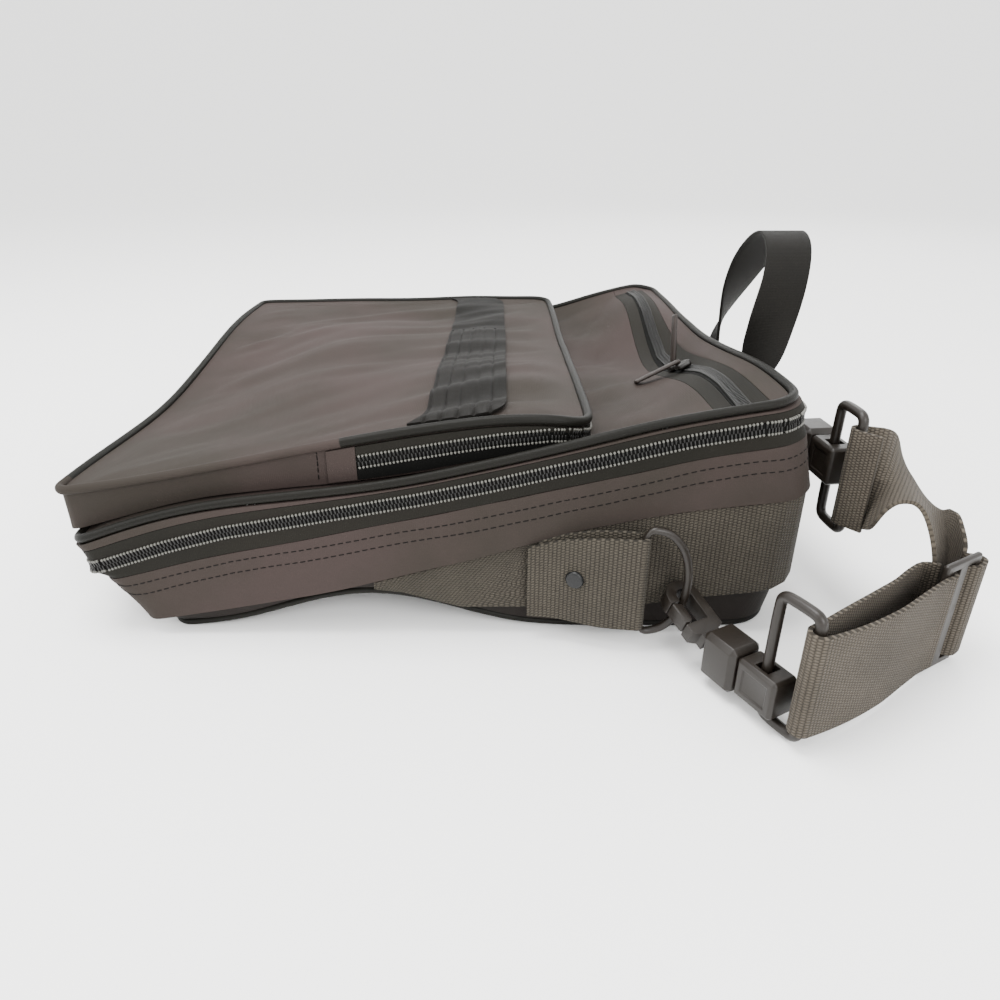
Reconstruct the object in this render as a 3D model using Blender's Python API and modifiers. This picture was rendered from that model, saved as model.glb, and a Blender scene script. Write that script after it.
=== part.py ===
"""A soft nylon briefcase with an outer box pocket, lying on its back with its front up.

+X runs from the bag's bottom end to its top end, where the handle is, +Y across its width and +Z up through
its thickness. The origin is the middle of the back panel's flat underside. Lengths are metres.
"""

import math

import bmesh
import bpy
from mathutils import Matrix, Vector

# Main sizes of the bag
BAG_LENGTH = 0.370
BAG_WIDTH = 0.390
BAG_DEPTH = 0.125
CORNER_RADII = {"bottom": 0.012, "top": 0.025}
CLOTH = 0.0016
TAPE = 0.0014
GAP = 0.0003
PIPING_RADIUS = 0.0022

# Zippers
COIL_WIDTH = 0.0060
COIL_THICKNESS = 0.0024
TOP_TAPE_WIDTH = 0.0085
SLIDER_SIZE = (0.009, 0.012, 0.0042)
SLIDER_BEVEL = 0.0010
PULLER_SIZE = (0.030, 0.0085, 0.0022)
PULLER_BEVEL = 0.0006

# Front pocket
POCKET_END = 0.264
POCKET_OVERHANG = 0.001
POCKET_SIDE_INSET = 0.0085
POCKET_RADII = {"bottom": 0.010, "top": 0.022}
POCKET_SEAT = 0.0010
POCKET_ZIP_START = 0.150
BAND_WIDTH = 0.042
BAND_START = 0.183
BAND_THICKNESS = 0.0012
BAND_FIRST_COLUMN = 7
BAND_COLUMNS = 2
POCKET_WALL_BANDS = (
    # node, low share, high share, thickness, material
    ("pocket_zip_tape_lower", 0.06, 0.40, TAPE, "tape"),
    ("pocket_zip_coil", 0.44, 0.68, TAPE, "coil"),
    ("pocket_zip_tape_upper", 0.72, 0.97, TAPE, "tape"),
)
END_TAB_SHARES = (0.06, 0.98)

# Webbing and the tabs that hold the rings
WEB_WIDTH = 0.050
WEB_THICKNESS = 0.0018
BELT_START = 0.155
TAB_LENGTH = 0.052
TAB_STANDOFF = 0.0120
TAB_LAYERS = 0.0024
TAB_OUTER = (
    # share of the length, share of the stand-off
    (0.30, 0.20),
    (0.65, 0.75),
)
TAB_INNER = (
    (0.65, 0.30),
    (0.35, 0.00),
    (0.10, 0.00),
)
NEAR_TAB_START = 0.2315
NEAR_TAB_HEIGHT = 0.0390
TOP_TAB_START = 0.165
TOP_TAB_HEIGHT = 0.0515
RIVET_RADIUS = 0.0050
RIVET_HEIGHT = 0.0016
RIVET_SHARE = 0.40
RIVET_TAPER = 0.8
RIVET_SIDES = 12
RING_BAR = 0.0025
RING_CLEARANCE = 0.0005
RING_OVERHANG = 0.0035
RING_SHOULDER = 0.008
RING_REACH = 0.025
RING_STEPS = 8
RING_PLAY = 0.0015

# Snap hook, along its own length
HOOK_WIDTH = 0.018
HOOK_THICKNESS = 0.0085
HOOK_WALL = 0.0051
HOOK_LENGTH = 0.0285
HOOK_BASE = 0.0050
GATE_LENGTH = 0.0125
GATE_RADIUS = 0.0023
NECK_LENGTH = 0.0055
NECK_RADIUS = 0.0050
COLLAR_SIZE = (0.020, 0.018, 0.024)
COLLAR_BEVEL = 0.0025
TONGUE_SIZE = (0.022, 0.014, 0.020)
TONGUE_BEVEL = 0.0015
LOOP_BAR = 0.0030
LOOP_CLEARANCE = 0.0006
LOOP_OVERHANG = 0.0026
LOOP_LENGTH = 0.021
LOOP_CORNER = 0.0044

# How each snap hook hangs: its heading in plan, its dip, and its drop below the ring's middle
CLIPS = (
    # side, heading, tilt, drop
    ("near", -62.0, 22.0, -0.0120),
    ("top", -84.0, -34.0, 0.0150),
)

# Shoulder strap: its slider, and its path as places from the slider's middle
STRAP_SLIDER_SIZE = (0.026, 0.0030, 0.060)
STRAP_SLIDER_BEYOND = {"end": 0.057, "side": 0.027}
STRAP_SLIDER_HEADING = 30.0
STRAP_SLIDER_BEVEL = 0.0008
SLOT_PLACE = 0.0055
SLOT_WIDTH = 0.0056
SLOT_MARGIN = 0.0038
SLIDER_WEAVE = (
    # along the slider, layers to its side
    (-0.0200, -1.2),
    (-0.0130, -1.0),
    (-0.0076, -1.0),
    (-SLOT_PLACE, 0.0),
    (-0.0034, 1.0),
    (0.0034, 1.0),
    (SLOT_PLACE, 0.0),
    (0.0076, -1.0),
    (0.0135, -1.0),
    (0.0175, -0.4),
    (0.0185, 1.0),
    (0.0150, 2.6),
)
FLOOR_GAP = 0.0004
STRAP_TURNBACK = 0.012
STRAP_SPANS = 2

# Handle: shares of its span, reach and rise, with the turn of its width from the bag's width outward
HANDLE_WIDTH = 0.026
HANDLE_THICKNESS = 0.0018
HANDLE_SPAN = 0.092
HANDLE_RISE = 0.094
HANDLE_REACH = 0.018
HANDLE_OFFSET = -0.034
HANDLE_FOOT = 0.084
HANDLE_ROWS = (
    # across, out, up, turn
    (-0.50, 0.00, -0.04, 0.0),
    (-0.50, 0.07, 0.14, 5.0),
    (-0.50, 0.22, 0.34, 40.0),
    (-0.48, 0.46, 0.56, 80.0),
    (-0.42, 0.74, 0.78, 90.0),
    (-0.28, 0.94, 0.94, 90.0),
    (-0.08, 1.00, 1.00, 90.0),
    (0.12, 0.92, 0.93, 92.0),
    (0.28, 0.74, 0.78, 100.0),
    (0.39, 0.50, 0.58, 125.0),
    (0.46, 0.26, 0.36, 155.0),
    (0.49, 0.08, 0.16, 175.0),
    (0.50, 0.00, -0.04, 180.0),
)

# Seats, shares and clearances of the cloth parts
EDGE_STEP = 0.00005
SEAM_OVERLAP = 0.0030
ZIP_TAPE_SHARE = 0.50
RIM_EASE = 0.030
TRIM_EASE = 0.007
LONGEST_STEP = 0.060
POCKET_WALL_INSET = 0.0028
POCKET_ZIP_INSET = 0.0008
END_TAB_WIDTH = 0.014
RIBBED_SHARE = 0.62
FLAP_LEAST = 0.0040
BELT_DROP = 0.0006
TAB_DROP = 0.0010
BELT_LOWEST = 0.0165
FRONT_COLUMNS = 14
FLAP_COLUMNS = 2
CORNER_COLUMNS = 3

LOOP_HALF = WEB_WIDTH / 2 + LOOP_BAR + GAP + LOOP_OVERHANG

# Strap runs between the slider and a clip's bar, as shares of the straight way between them: along it, to its
# left, of its rise, and the webbing's lean from standing to edge-on
STRAP_EDGE_ON = (0.476, 0.787, -0.394)
STRAP_BACK = (
    # along, side, rise, lean
    (0.10, -0.120, 0.00, 0.0),
    (0.34, -0.095, 0.10, 0.0),
    (0.58, -0.075, 0.35, 0.0),
    (0.76, -0.060, 0.60, 0.0),
    (0.89, -0.047, 0.80, 0.0),
)
STRAP_FRONT = (
    # along, side, rise, lean
    (0.12, -0.051, 0.35, 0.0),
    (0.28, -0.058, 0.65, 0.0),
    (0.48, -0.054, 0.90, 0.0),
    (0.66, -0.036, 1.00, 0.0),
)
STRAP_TAIL = (
    # along, side, rise, lean
    (0.11, -0.290, 0.10, 0.10),
    (0.21, -0.320, 0.28, 0.35),
    (0.33, -0.330, 0.56, 0.70),
    (0.49, -0.310, 0.80, 0.88),
    (0.62, -0.250, 0.93, 0.80),
    (0.73, -0.160, 0.99, 0.62),
    (0.84, -0.085, 1.00, 0.25),
)

# The pullers: their sliders' share of the width, and how far each leans up from lying towards the bottom end
PULLERS = (
    # slider, across, puller, lean
    ("top_zip_slider_1", 0.355, "puller_lying", 178.0),
    ("top_zip_slider_2", 0.405, "puller_standing", 58.0),
)
SLIDER_SEAT = 0.0016
PULLER_ROOT = 0.0010

# How finely round things are divided
SIDE_STEPS = 10
END_STEPS = 9
CORNER_STEPS = 4

# Heights round the near side at shares of the bag's length, as shares of its depth
HEIGHT_COLUMNS = ("along", "seam", "tape", "coil", "rim", "dip", "pocket")
HEIGHT_ROWS = (
    (0.00, 0.055, 0.215, 0.275, 0.395, 0.000, 0.595),
    (0.10, 0.065, 0.280, 0.360, 0.500, 0.010, 0.640),
    (0.19, 0.110, 0.350, 0.440, 0.575, 0.020, 0.700),
    (0.27, 0.155, 0.400, 0.490, 0.600, 0.020, 0.740),
    (0.36, 0.210, 0.450, 0.535, 0.625, 0.020, 0.795),
    (0.46, 0.280, 0.515, 0.595, 0.675, 0.030, 0.850),
    (0.58, 0.385, 0.605, 0.675, 0.755, 0.070, 0.900),
    (0.66, 0.470, 0.665, 0.735, 0.815, 0.100, 0.900),
    (0.72, 0.515, 0.700, 0.775, 0.860, 0.120, 0.850),
    (0.80, 0.555, 0.750, 0.830, 0.920, 0.110, 0.850),
    (0.90, 0.600, 0.815, 0.895, 0.980, 0.080, 0.850),
    (1.00, 0.620, 0.845, 0.920, 1.000, 0.060, 0.850),
)

# The same for the far side, which the near side's heights blend into by a share of the width
FAR_COLUMNS = ("along", "seam", "tape", "coil", "rim", "dip", "pocket")
FAR_ROWS = (
    (0.00, 0.280, 0.380, 0.430, 0.540, 0.000, 0.715),
    (0.55, 0.340, 0.440, 0.500, 0.600, 0.030, 0.745),
    (0.72, 0.400, 0.500, 0.560, 0.655, 0.060, 0.755),
    (0.84, 0.480, 0.610, 0.670, 0.775, 0.080, 0.760),
    (0.92, 0.520, 0.660, 0.725, 0.830, 0.060, 0.760),
    (1.00, 0.540, 0.660, 0.720, 0.815, 0.040, 0.760),
)
FAR_SHARE = 0.65

# How far each level lies inside the longest outline: at the bottom end, the top end and the sides
INSETS = {
    # bottom, top, side
    "foot": (0.045, 0.008, 0.004),
    "belly": (0.041, 0.001, 0.001),
    "seam": (0.037, 0.001, 0.001),
    "skirt": (0.034, -0.002, -0.002),
    "tape": (0.018, 0.004, 0.000),
    "coil": (0.010, 0.007, 0.000),
    "rim": (0.006, 0.011, 0.000),
}

# The near edge of the back panel is lifted off the surface in a low arch
ARCH = {"along": 0.41, "reach": 0.245, "inward": 0.22, "rise": 0.022}

# Soft folds: place as shares of length and width, reach as shares of the same, height as a share of the depth
FRONT_FOLDS = (
    # along, across, reach_along, reach_across, height
    (0.90, 0.84, 0.15, 0.24, 0.090),
    (0.90, 0.50, 0.16, 0.24, -0.110),
    (0.79, 0.72, 0.08, 0.36, -0.100),
    (0.80, 0.24, 0.10, 0.22, -0.050),
    (0.88, 0.20, 0.10, 0.16, 0.030),
)
POCKET_FOLDS = (
    # along, across, reach_along, reach_across, height
    (0.06, 0.42, 0.24, 0.40, -0.120),
    (0.30, 0.55, 0.25, 0.34, 0.050),
    (0.34, 0.82, 0.30, 0.10, -0.045),
    (0.55, 0.35, 0.22, 0.26, 0.030),
    (0.62, 0.86, 0.12, 0.14, -0.040),
)

# The zipper across the front: share of the length at which it lies, at shares of the width
TOP_ZIP_COLUMNS = ("across", "along")
TOP_ZIP_ROWS = (
    (0.00, 0.903),
    (0.12, 0.902),
    (0.30, 0.900),
    (0.55, 0.898),
    (0.80, 0.902),
    (1.00, 0.903),
)


def material(name, colour, roughness, metallic=0.0):
    """A plain surface of one colour."""
    made = bpy.data.materials.new(name)
    made.use_nodes = True
    shader = made.node_tree.nodes["Principled BSDF"]
    shader.inputs["Base Color"].default_value = (*colour, 1.0)
    shader.inputs["Roughness"].default_value = roughness
    shader.inputs["Metallic"].default_value = metallic
    return made


def clear_scene():
    """Start from an empty scene."""
    for thing in list(bpy.data.objects):
        bpy.data.objects.remove(thing, do_unlink=True)


def lerp(start, end, share):
    """The value at a share of the way from start to end."""
    return start + (end - start) * share


def table_value(rows, columns, name, place):
    """Read a column at a place along the table's first column, eased between its rows."""
    column = columns.index(name)
    if place <= rows[0][0]:
        return rows[0][column]
    for low, high in zip(rows, rows[1:]):
        if place <= high[0]:
            share = (place - low[0]) / (high[0] - low[0])
            return lerp(low[column], high[column], share)
    return rows[-1][column]


def along_share(x):
    """Where x lies between the bag's bottom end and its top end."""
    return x / BAG_LENGTH + 0.5


def across_share(y):
    """Where y lies between the bag's near side and its far side."""
    return y / BAG_WIDTH + 0.5


def level_height(name, x, y):
    """Height of one of the bag's levels at a place."""
    near = table_value(HEIGHT_ROWS, HEIGHT_COLUMNS, name, along_share(x))
    far = table_value(FAR_ROWS, FAR_COLUMNS, name, along_share(x))
    share = min(max(across_share(y) / FAR_SHARE, 0.0), 1.0)
    return BAG_DEPTH * lerp(near, far, share * share * (3 - 2 * share))


def soft_bump(distance):
    """One at the middle and nothing past a distance of one."""
    return 0.5 + 0.5 * math.cos(math.pi * distance) if distance < 1.0 else 0.0


def folds_height(folds, x, y):
    """The sum of a table's folds at a place."""
    total = 0.0
    for along, across, reach_along, reach_across, height in folds:
        offset_x = (along_share(x) - along) / reach_along
        offset_y = (across_share(y) - across) / reach_across
        total += height * soft_bump(math.hypot(offset_x, offset_y))
    return BAG_DEPTH * total


def arch_lift(x, y):
    """Lift of the back panel's near edge."""
    sideways = (along_share(x) - ARCH["along"]) / ARCH["reach"]
    inward = across_share(y) / ARCH["inward"]
    return ARCH["rise"] * soft_bump(abs(sideways)) * soft_bump(max(inward, 0.0))


def rounded_outline(left, right, near, far, radii, grow):
    """A rectangle with round corners, grown outward, counter-clockwise from its near right corner."""
    bottom, top = radii["bottom"], radii["top"]
    corners = (
        (right - top, near + top, -90.0, END_STEPS, top + grow),
        (right - top, far - top, 0.0, SIDE_STEPS, top + grow),
        (left + bottom, far - bottom, 90.0, END_STEPS, bottom + grow),
        (left + bottom, near + bottom, 180.0, SIDE_STEPS, bottom + grow),
    )
    arcs = []
    for centre_x, centre_y, start, _, radius in corners:
        angles = [math.radians(start + 90.0 * k / CORNER_STEPS) for k in range(CORNER_STEPS + 1)]
        arcs.append([(centre_x + radius * math.cos(a), centre_y + radius * math.sin(a)) for a in angles])
    points = []
    for index, arc in enumerate(arcs):
        following = arcs[(index + 1) % len(arcs)][0]
        steps = corners[index][3]
        points += arc
        for k in range(1, steps):
            share = k / steps
            points.append((lerp(arc[-1][0], following[0], share), lerp(arc[-1][1], following[1], share)))
    return points


def bag_outline(level, grow=0.0):
    """The bag's outline at one of its levels, grown outward by a distance."""
    bottom, top, side = INSETS[level]
    return rounded_outline(
        -BAG_LENGTH / 2 + bottom,
        BAG_LENGTH / 2 - top,
        -BAG_WIDTH / 2 + side,
        BAG_WIDTH / 2 - side,
        CORNER_RADII,
        grow,
    )


def pocket_outline(grow=0.0):
    """The pocket's outline, grown outward by a distance."""
    return rounded_outline(
        -BAG_LENGTH / 2 - POCKET_OVERHANG,
        -BAG_LENGTH / 2 + POCKET_END,
        -BAG_WIDTH / 2 + POCKET_SIDE_INSET,
        BAG_WIDTH / 2 - POCKET_SIDE_INSET,
        POCKET_RADII,
        grow,
    )


def span_at(outline, y):
    """The lowest and highest x of an outline at y."""
    crossings = []
    for (x0, y0), (x1, y1) in zip(outline, outline[1:] + outline[:1]):
        if min(y0, y1) <= y <= max(y0, y1):
            crossings.append(x0 if y0 == y1 else lerp(x0, x1, (y - y0) / (y1 - y0)))
            if y0 == y1:
                crossings.append(x1)
    return min(crossings), max(crossings)


def link(thing, surface, collection):
    """Put a finished object in the model with its material."""
    collection.objects.link(thing)
    thing.data.materials.append(surface)
    return thing


def mesh_object(name, build_mesh):
    """Make a mesh object from a bmesh and shade its soft faces smooth."""
    mesh = bpy.data.meshes.new(name)
    build_mesh.to_mesh(mesh)
    build_mesh.free()
    mesh.shade_smooth()
    mesh.set_sharp_from_angle(angle=math.radians(40.0))
    return bpy.data.objects.new(name, mesh)


def moved_inward(points, distance, closed):
    """A path's points moved to its left by a distance, at their own heights."""
    count = len(points)
    moved = []
    for k, (x, y, z) in enumerate(points):
        before = points[k - 1] if closed or k > 0 else points[k]
        after = points[(k + 1) % count] if closed or k < count - 1 else points[k]
        arriving = Vector((x - before[0], y - before[1]))
        leaving = Vector((after[0] - x, after[1] - y))
        arriving = arriving.normalized() if arriving.length else leaving.normalized()
        leaving = leaving.normalized() if leaving.length else arriving
        heading = (arriving + leaving).normalized()
        reach = distance / max(heading.dot(arriving), 0.5)
        moved.append((x - heading.y * reach, y + heading.x * reach, z))
    return moved


def shell(name, rings, thickness, closed=True):
    """A wall lofted through a stack of rings, level at its rims, given its thickness inward."""
    build = bmesh.new()
    inner = [moved_inward(points, thickness, closed) for points in reversed(rings)]
    rows = [[build.verts.new(point) for point in points] for points in [*rings, *inner]]
    count = len(rows[0])
    for lower, upper in zip(rows, rows[1:] + rows[:1]):
        for k in range(count if closed else count - 1):
            following = (k + 1) % count
            build.faces.new((lower[k], lower[following], upper[following], upper[k]))
    if not closed:
        build.faces.new([row[0] for row in rows])
        build.faces.new([row[-1] for row in reversed(rows)])
    return mesh_object(name, build)


def walled(thing, thickness, offset):
    """Give an open surface its thickness."""
    wall = thing.modifiers.new("wall", "SOLIDIFY")
    wall.thickness = thickness
    wall.offset = offset
    wall.use_even_offset = True
    return thing


def sheet(name, grid, thickness):
    """A cloth sheet through rows of points, given its thickness straight down."""
    build = bmesh.new()
    rows = [[build.verts.new(point) for point in row] for row in grid]
    for near_row, far_row in zip(rows, rows[1:]):
        for k in range(len(near_row) - 1):
            build.faces.new((near_row[k], near_row[k + 1], far_row[k + 1], far_row[k]))
    under = bmesh.ops.extrude_face_region(build, geom=build.faces[:], use_keep_orig=True)
    moved = [part for part in under["geom"] if isinstance(part, bmesh.types.BMVert)]
    bmesh.ops.translate(build, verts=moved, vec=(0.0, 0.0, -thickness))
    bmesh.ops.recalc_face_normals(build, faces=build.faces[:])
    return mesh_object(name, build)


def ribbon(name, stations, thickness):
    """Webbing along a path: each station is a point and the way from there to one edge."""
    build = bmesh.new()
    rows = [(build.verts.new(point - half), build.verts.new(point + half)) for point, half in stations]
    for first, second in zip(rows, rows[1:]):
        build.faces.new((first[0], second[0], second[1], first[1]))
    return walled(mesh_object(name, build), thickness, 0.0)


def tube(name, points, radius, closed, resolution=1):
    """A round cord or bar along a path."""
    curve = bpy.data.curves.new(name, "CURVE")
    curve.dimensions = "3D"
    curve.bevel_depth = radius
    curve.bevel_resolution = resolution
    curve.use_fill_caps = not closed
    spline = curve.splines.new("POLY")
    spline.points.add(len(points) - 1)
    for spline_point, point in zip(spline.points, points):
        spline_point.co = (*point, 1.0)
    spline.use_cyclic_u = closed
    return bpy.data.objects.new(name, curve)


def bevelled_box(name, size, bevel, matrix):
    """A box with rounded edges, centred on a frame."""
    build = bmesh.new()
    bmesh.ops.create_cube(build, size=1.0, matrix=Matrix.Diagonal((*size, 1.0)))
    thing = mesh_object(name, build)
    thing.matrix_world = matrix
    if bevel:
        edge = thing.modifiers.new("edges", "BEVEL")
        edge.width = bevel
        edge.segments = 1
    return thing


def flat_plate(name, outline, thickness, matrix):
    """A plate of one outline, centred on a frame."""
    curve = bpy.data.curves.new(name, "CURVE")
    curve.dimensions = "2D"
    curve.fill_mode = "BOTH"
    curve.extrude = thickness / 2
    spline = curve.splines.new("POLY")
    spline.points.add(len(outline) - 1)
    for spline_point, (x, y) in zip(spline.points, outline):
        spline_point.co = (x, y, 0.0, 1.0)
    spline.use_cyclic_u = True
    thing = bpy.data.objects.new(name, curve)
    thing.matrix_world = matrix
    return thing


def cut(thing, size, matrix, cutters):
    """Cut a box-shaped slot out of a piece."""
    cutter = bevelled_box(thing.name + "_cutter", size, 0.0, matrix)
    cutter.hide_render = True
    cutter.display_type = "WIRE"
    cutters.objects.link(cutter)
    slot = thing.modifiers.new("slot", "BOOLEAN")
    slot.operation = "DIFFERENCE"
    slot.object = cutter
    slot.solver = "EXACT"


def smooth_path(points, per_span):
    """A smooth curve through points, as closely spaced points."""
    padded = [points[0] * 2 - points[1], *points, points[-1] * 2 - points[-2]]
    path = []
    for before, start, end, after in zip(padded, padded[1:], padded[2:], padded[3:]):
        for k in range(per_span):
            t = k / per_span
            square = 2 * before - 5 * start + 4 * end - after
            cube = 3 * start - before - 3 * end + after
            path.append(0.5 * (2 * start + (end - before) * t + square * t**2 + cube * t**3))
    return path + [points[-1]]


def ring(level, lift=0.0, grow=0.0, height=None):
    """A ring of points round the bag at a level."""
    return [(x, y, level_height(height or level, x, y) + lift) for x, y in bag_outline(level, grow)]


def ring_between(lower, upper, share, lift=0.0):
    """A ring a share of the way from one ring to another."""
    return [tuple(lerp(a, b, share) + (lift if axis == 2 else 0.0) for axis, (a, b) in enumerate(zip(p, q)))
            for p, q in zip(lower, upper)]


def back_and_sides():
    """The back panel, the gussets and the main zipper round the bag."""
    foot = bag_outline("foot", -PIPING_RADIUS)
    inner = bag_outline("foot", -2 * PIPING_RADIUS - GAP)
    grid = []
    for y in grid_rows(inner):
        left, right = span_at(inner, y)
        xs = [lerp(left, right, k / SIDE_STEPS) for k in range(SIDE_STEPS + 1)]
        grid.append([(x, y, CLOTH + arch_lift(x, y)) for x in xs])
    yield sheet("back_panel", grid, CLOTH), "nylon_dark"

    cord = [(x, y, PIPING_RADIUS + arch_lift(x, y)) for x, y in foot]
    yield tube("back_piping", cord, PIPING_RADIUS, True), "trim"

    rear_foot = [(x, y, 2 * PIPING_RADIUS + GAP + arch_lift(x, y)) for x, y in bag_outline("foot")]
    seam = ring("seam", SEAM_OVERLAP)
    widest = zip(bag_outline("belly"), rear_foot, seam)
    belly = [(x, y, lerp(low[2], high[2], 0.5)) for (x, y), low, high in widest]
    yield shell("rear_gusset", [rear_foot, belly, seam], CLOTH), "nylon_dark"

    skirt = ring("skirt", height="seam")
    tape = ring("tape")
    strip = [skirt, ring_between(skirt, tape, 0.5), ring_between(skirt, tape, 1.0, -GAP)]
    yield shell("front_gusset", strip, CLOTH), "nylon"

    coil = ring("coil")
    rim = ring("rim")
    coil_low = ring("coil", -COIL_WIDTH / 2)
    coil_high = ring("coil", COIL_WIDTH / 2)
    yield shell("lower_zip_tape", [tape, [(*p[:2], p[2] - GAP) for p in coil_low]], TAPE), "tape"
    yield shell("main_zip_coil", [coil_low, coil_high], COIL_THICKNESS), "coil"
    tape_top = ring_between(coil_high, rim, ZIP_TAPE_SHARE)
    yield shell("upper_zip_tape", [[(*p[:2], p[2] + GAP) for p in coil_high], tape_top], TAPE), "tape"
    rim_low = [(*p[:2], p[2] + GAP) for p in tape_top]
    rim_high = [(*p[:2], p[2] - PIPING_RADIUS - GAP) for p in rim]
    yield shell("front_rim", [rim_low, rim_high], CLOTH), "nylon"

    piping = [(x, y, level_height("rim", x, y)) for x, y in bag_outline("rim", -PIPING_RADIUS)]
    yield tube("front_piping", piping, PIPING_RADIUS, True), "trim"


def edge_ease(x, y, reach):
    """Nothing at the rim, rising to one at a distance inside it."""
    bottom, top, side = INSETS["rim"]
    distance = min(
        x + BAG_LENGTH / 2 - bottom,
        BAG_LENGTH / 2 - top - x,
        y + BAG_WIDTH / 2 - side,
        BAG_WIDTH / 2 - side - y,
    )
    share = min(max(distance / reach, 0.0), 1.0)
    return share * share * (3 - 2 * share)


def front_height(x, y):
    """Height of the front cloth at a place."""
    ease = edge_ease(x, y, RIM_EASE)
    return level_height("rim", x, y) + ease * (folds_height(FRONT_FOLDS, x, y) - level_height("dip", x, y))


def pocket_height(x, y):
    """Height of the pocket's cloth at a place."""
    return level_height("pocket", x, y) + folds_height(POCKET_FOLDS, x, y)


def top_zip_x(y):
    """Where the zipper across the front lies at y."""
    along = table_value(TOP_ZIP_ROWS, TOP_ZIP_COLUMNS, "along", across_share(y))
    return (along - 0.5) * BAG_LENGTH


def grid_rows(outline):
    """The y values of an outline's own points, from its near side to its far side."""
    low = min(p[1] for p in outline) + EDGE_STEP
    high = max(p[1] for p in outline) - EDGE_STEP
    top_end = outline[: 2 * CORNER_STEPS + END_STEPS + 1]
    return [min(max(y, low), high) for _, y in top_end]


def front_row(y, start, end, columns):
    """One row of the front cloth between two places, kept inside the rim."""
    left, right = span_at(bag_outline("rim", -2 * PIPING_RADIUS - GAP), y)
    start, end = max(start, left), min(end, right)
    return [(x, y, front_height(x, y)) for x in (lerp(start, end, k / columns) for k in range(columns + 1))]


def front_grid():
    """The front cloth from the bottom end up to the zipper across it."""
    seam = COIL_WIDTH / 2 + TOP_TAPE_WIDTH + GAP
    ys = grid_rows(bag_outline("rim", -2 * PIPING_RADIUS - GAP))
    return [front_row(y, -BAG_LENGTH, top_zip_x(y) - seam, FRONT_COLUMNS) for y in ys]


def front():
    """The front cloth with the zipper across it near the top end."""
    half_coil = COIL_WIDTH / 2
    tape_edge = half_coil + TOP_TAPE_WIDTH
    strips = (
        ("top_zip_tape_lower", -tape_edge, -half_coil - GAP, TAPE, "tape"),
        ("top_zip_coil", -half_coil, half_coil, COIL_THICKNESS, "coil"),
        ("top_zip_tape_upper", half_coil + GAP, tape_edge, TAPE, "tape"),
    )
    panel = front_grid()
    yield sheet("front_panel", panel, CLOTH), "nylon"
    inside = bag_outline("rim", -2 * PIPING_RADIUS - GAP)
    ys = [row[0][1] for row in panel]
    ys = [y for y in ys if span_at(inside, y)[1] > top_zip_x(y) + tape_edge + FLAP_LEAST]
    for name, start, end, thickness, surface in strips:
        rows = [front_row(y, top_zip_x(y) + start, top_zip_x(y) + end, 1) for y in ys]
        yield sheet(name, rows, thickness), surface
    flap = [front_row(y, top_zip_x(y) + tape_edge + GAP, BAG_LENGTH, FLAP_COLUMNS) for y in ys]
    yield sheet("top_flap", flap, CLOTH), "nylon"
    all_ys = [row[0][1] for row in panel]
    near = [y for y in all_ys if y < ys[0]] + [ys[0] - GAP]
    far = [ys[-1] + GAP] + [y for y in all_ys if y > ys[-1]]
    for name, corner in (("top_corner_near", near), ("top_corner_far", far)):
        rows = [front_row(y, top_zip_x(y) - tape_edge, BAG_LENGTH, CORNER_COLUMNS) for y in corner]
        yield sheet(name, rows, CLOTH), "nylon"


def height_on_grid(grid, x, y):
    """Height of a sheet's rows of points at a place."""
    for near_row, far_row in zip(grid, grid[1:]):
        if y <= far_row[0][1] or far_row is grid[-1]:
            break
    heights = []
    for row in (near_row, far_row):
        start, end = next(((a, b) for a, b in zip(row, row[1:]) if x <= b[0]), row[-2:])
        share = min(max((x - start[0]) / max(end[0] - start[0], EDGE_STEP), 0.0), 1.0)
        heights.append(lerp(start[2], end[2], share))
    share = (y - near_row[0][1]) / (far_row[0][1] - near_row[0][1])
    return lerp(*heights, min(max(share, 0.0), 1.0))


def seat_height(grid, x, y):
    """Height that a piece standing on the front cloth or its trim has to clear."""
    cloth = height_on_grid(grid, x, y)
    on_trim = level_height("rim", x, y) + PIPING_RADIUS
    return lerp(max(on_trim, cloth), cloth, edge_ease(x, y, TRIM_EASE)) + POCKET_SEAT


def seated_heights(grid, points):
    """Heights at which a chain of points clears the front cloth, also between the points."""
    heights = [seat_height(grid, x, y) for x, y in points]
    for k in range(-1, len(points) - 1):
        for share in (0.2, 0.4, 0.6, 0.8):
            x = lerp(points[k][0], points[k + 1][0], share)
            y = lerp(points[k][1], points[k + 1][1], share)
            short = seat_height(grid, x, y) - lerp(heights[k], heights[k + 1], share)
            if short > 0.0 and math.dist(points[k], points[k + 1]) < LONGEST_STEP:
                heights[k] += short
                heights[k + 1] += short
    return heights


def pocket_band(grid, start_share, end_share, points):
    """Two rings of points at shares of the pocket gusset's height."""
    feet = seated_heights(grid, points)
    rings = []
    for share in (start_share, end_share):
        tops = [pocket_height(x, y) - PIPING_RADIUS - GAP for x, y in points]
        rings.append([(x, y, lerp(foot, top, share)) for (x, y), foot, top in zip(points, feet, tops)])
    return rings


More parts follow.
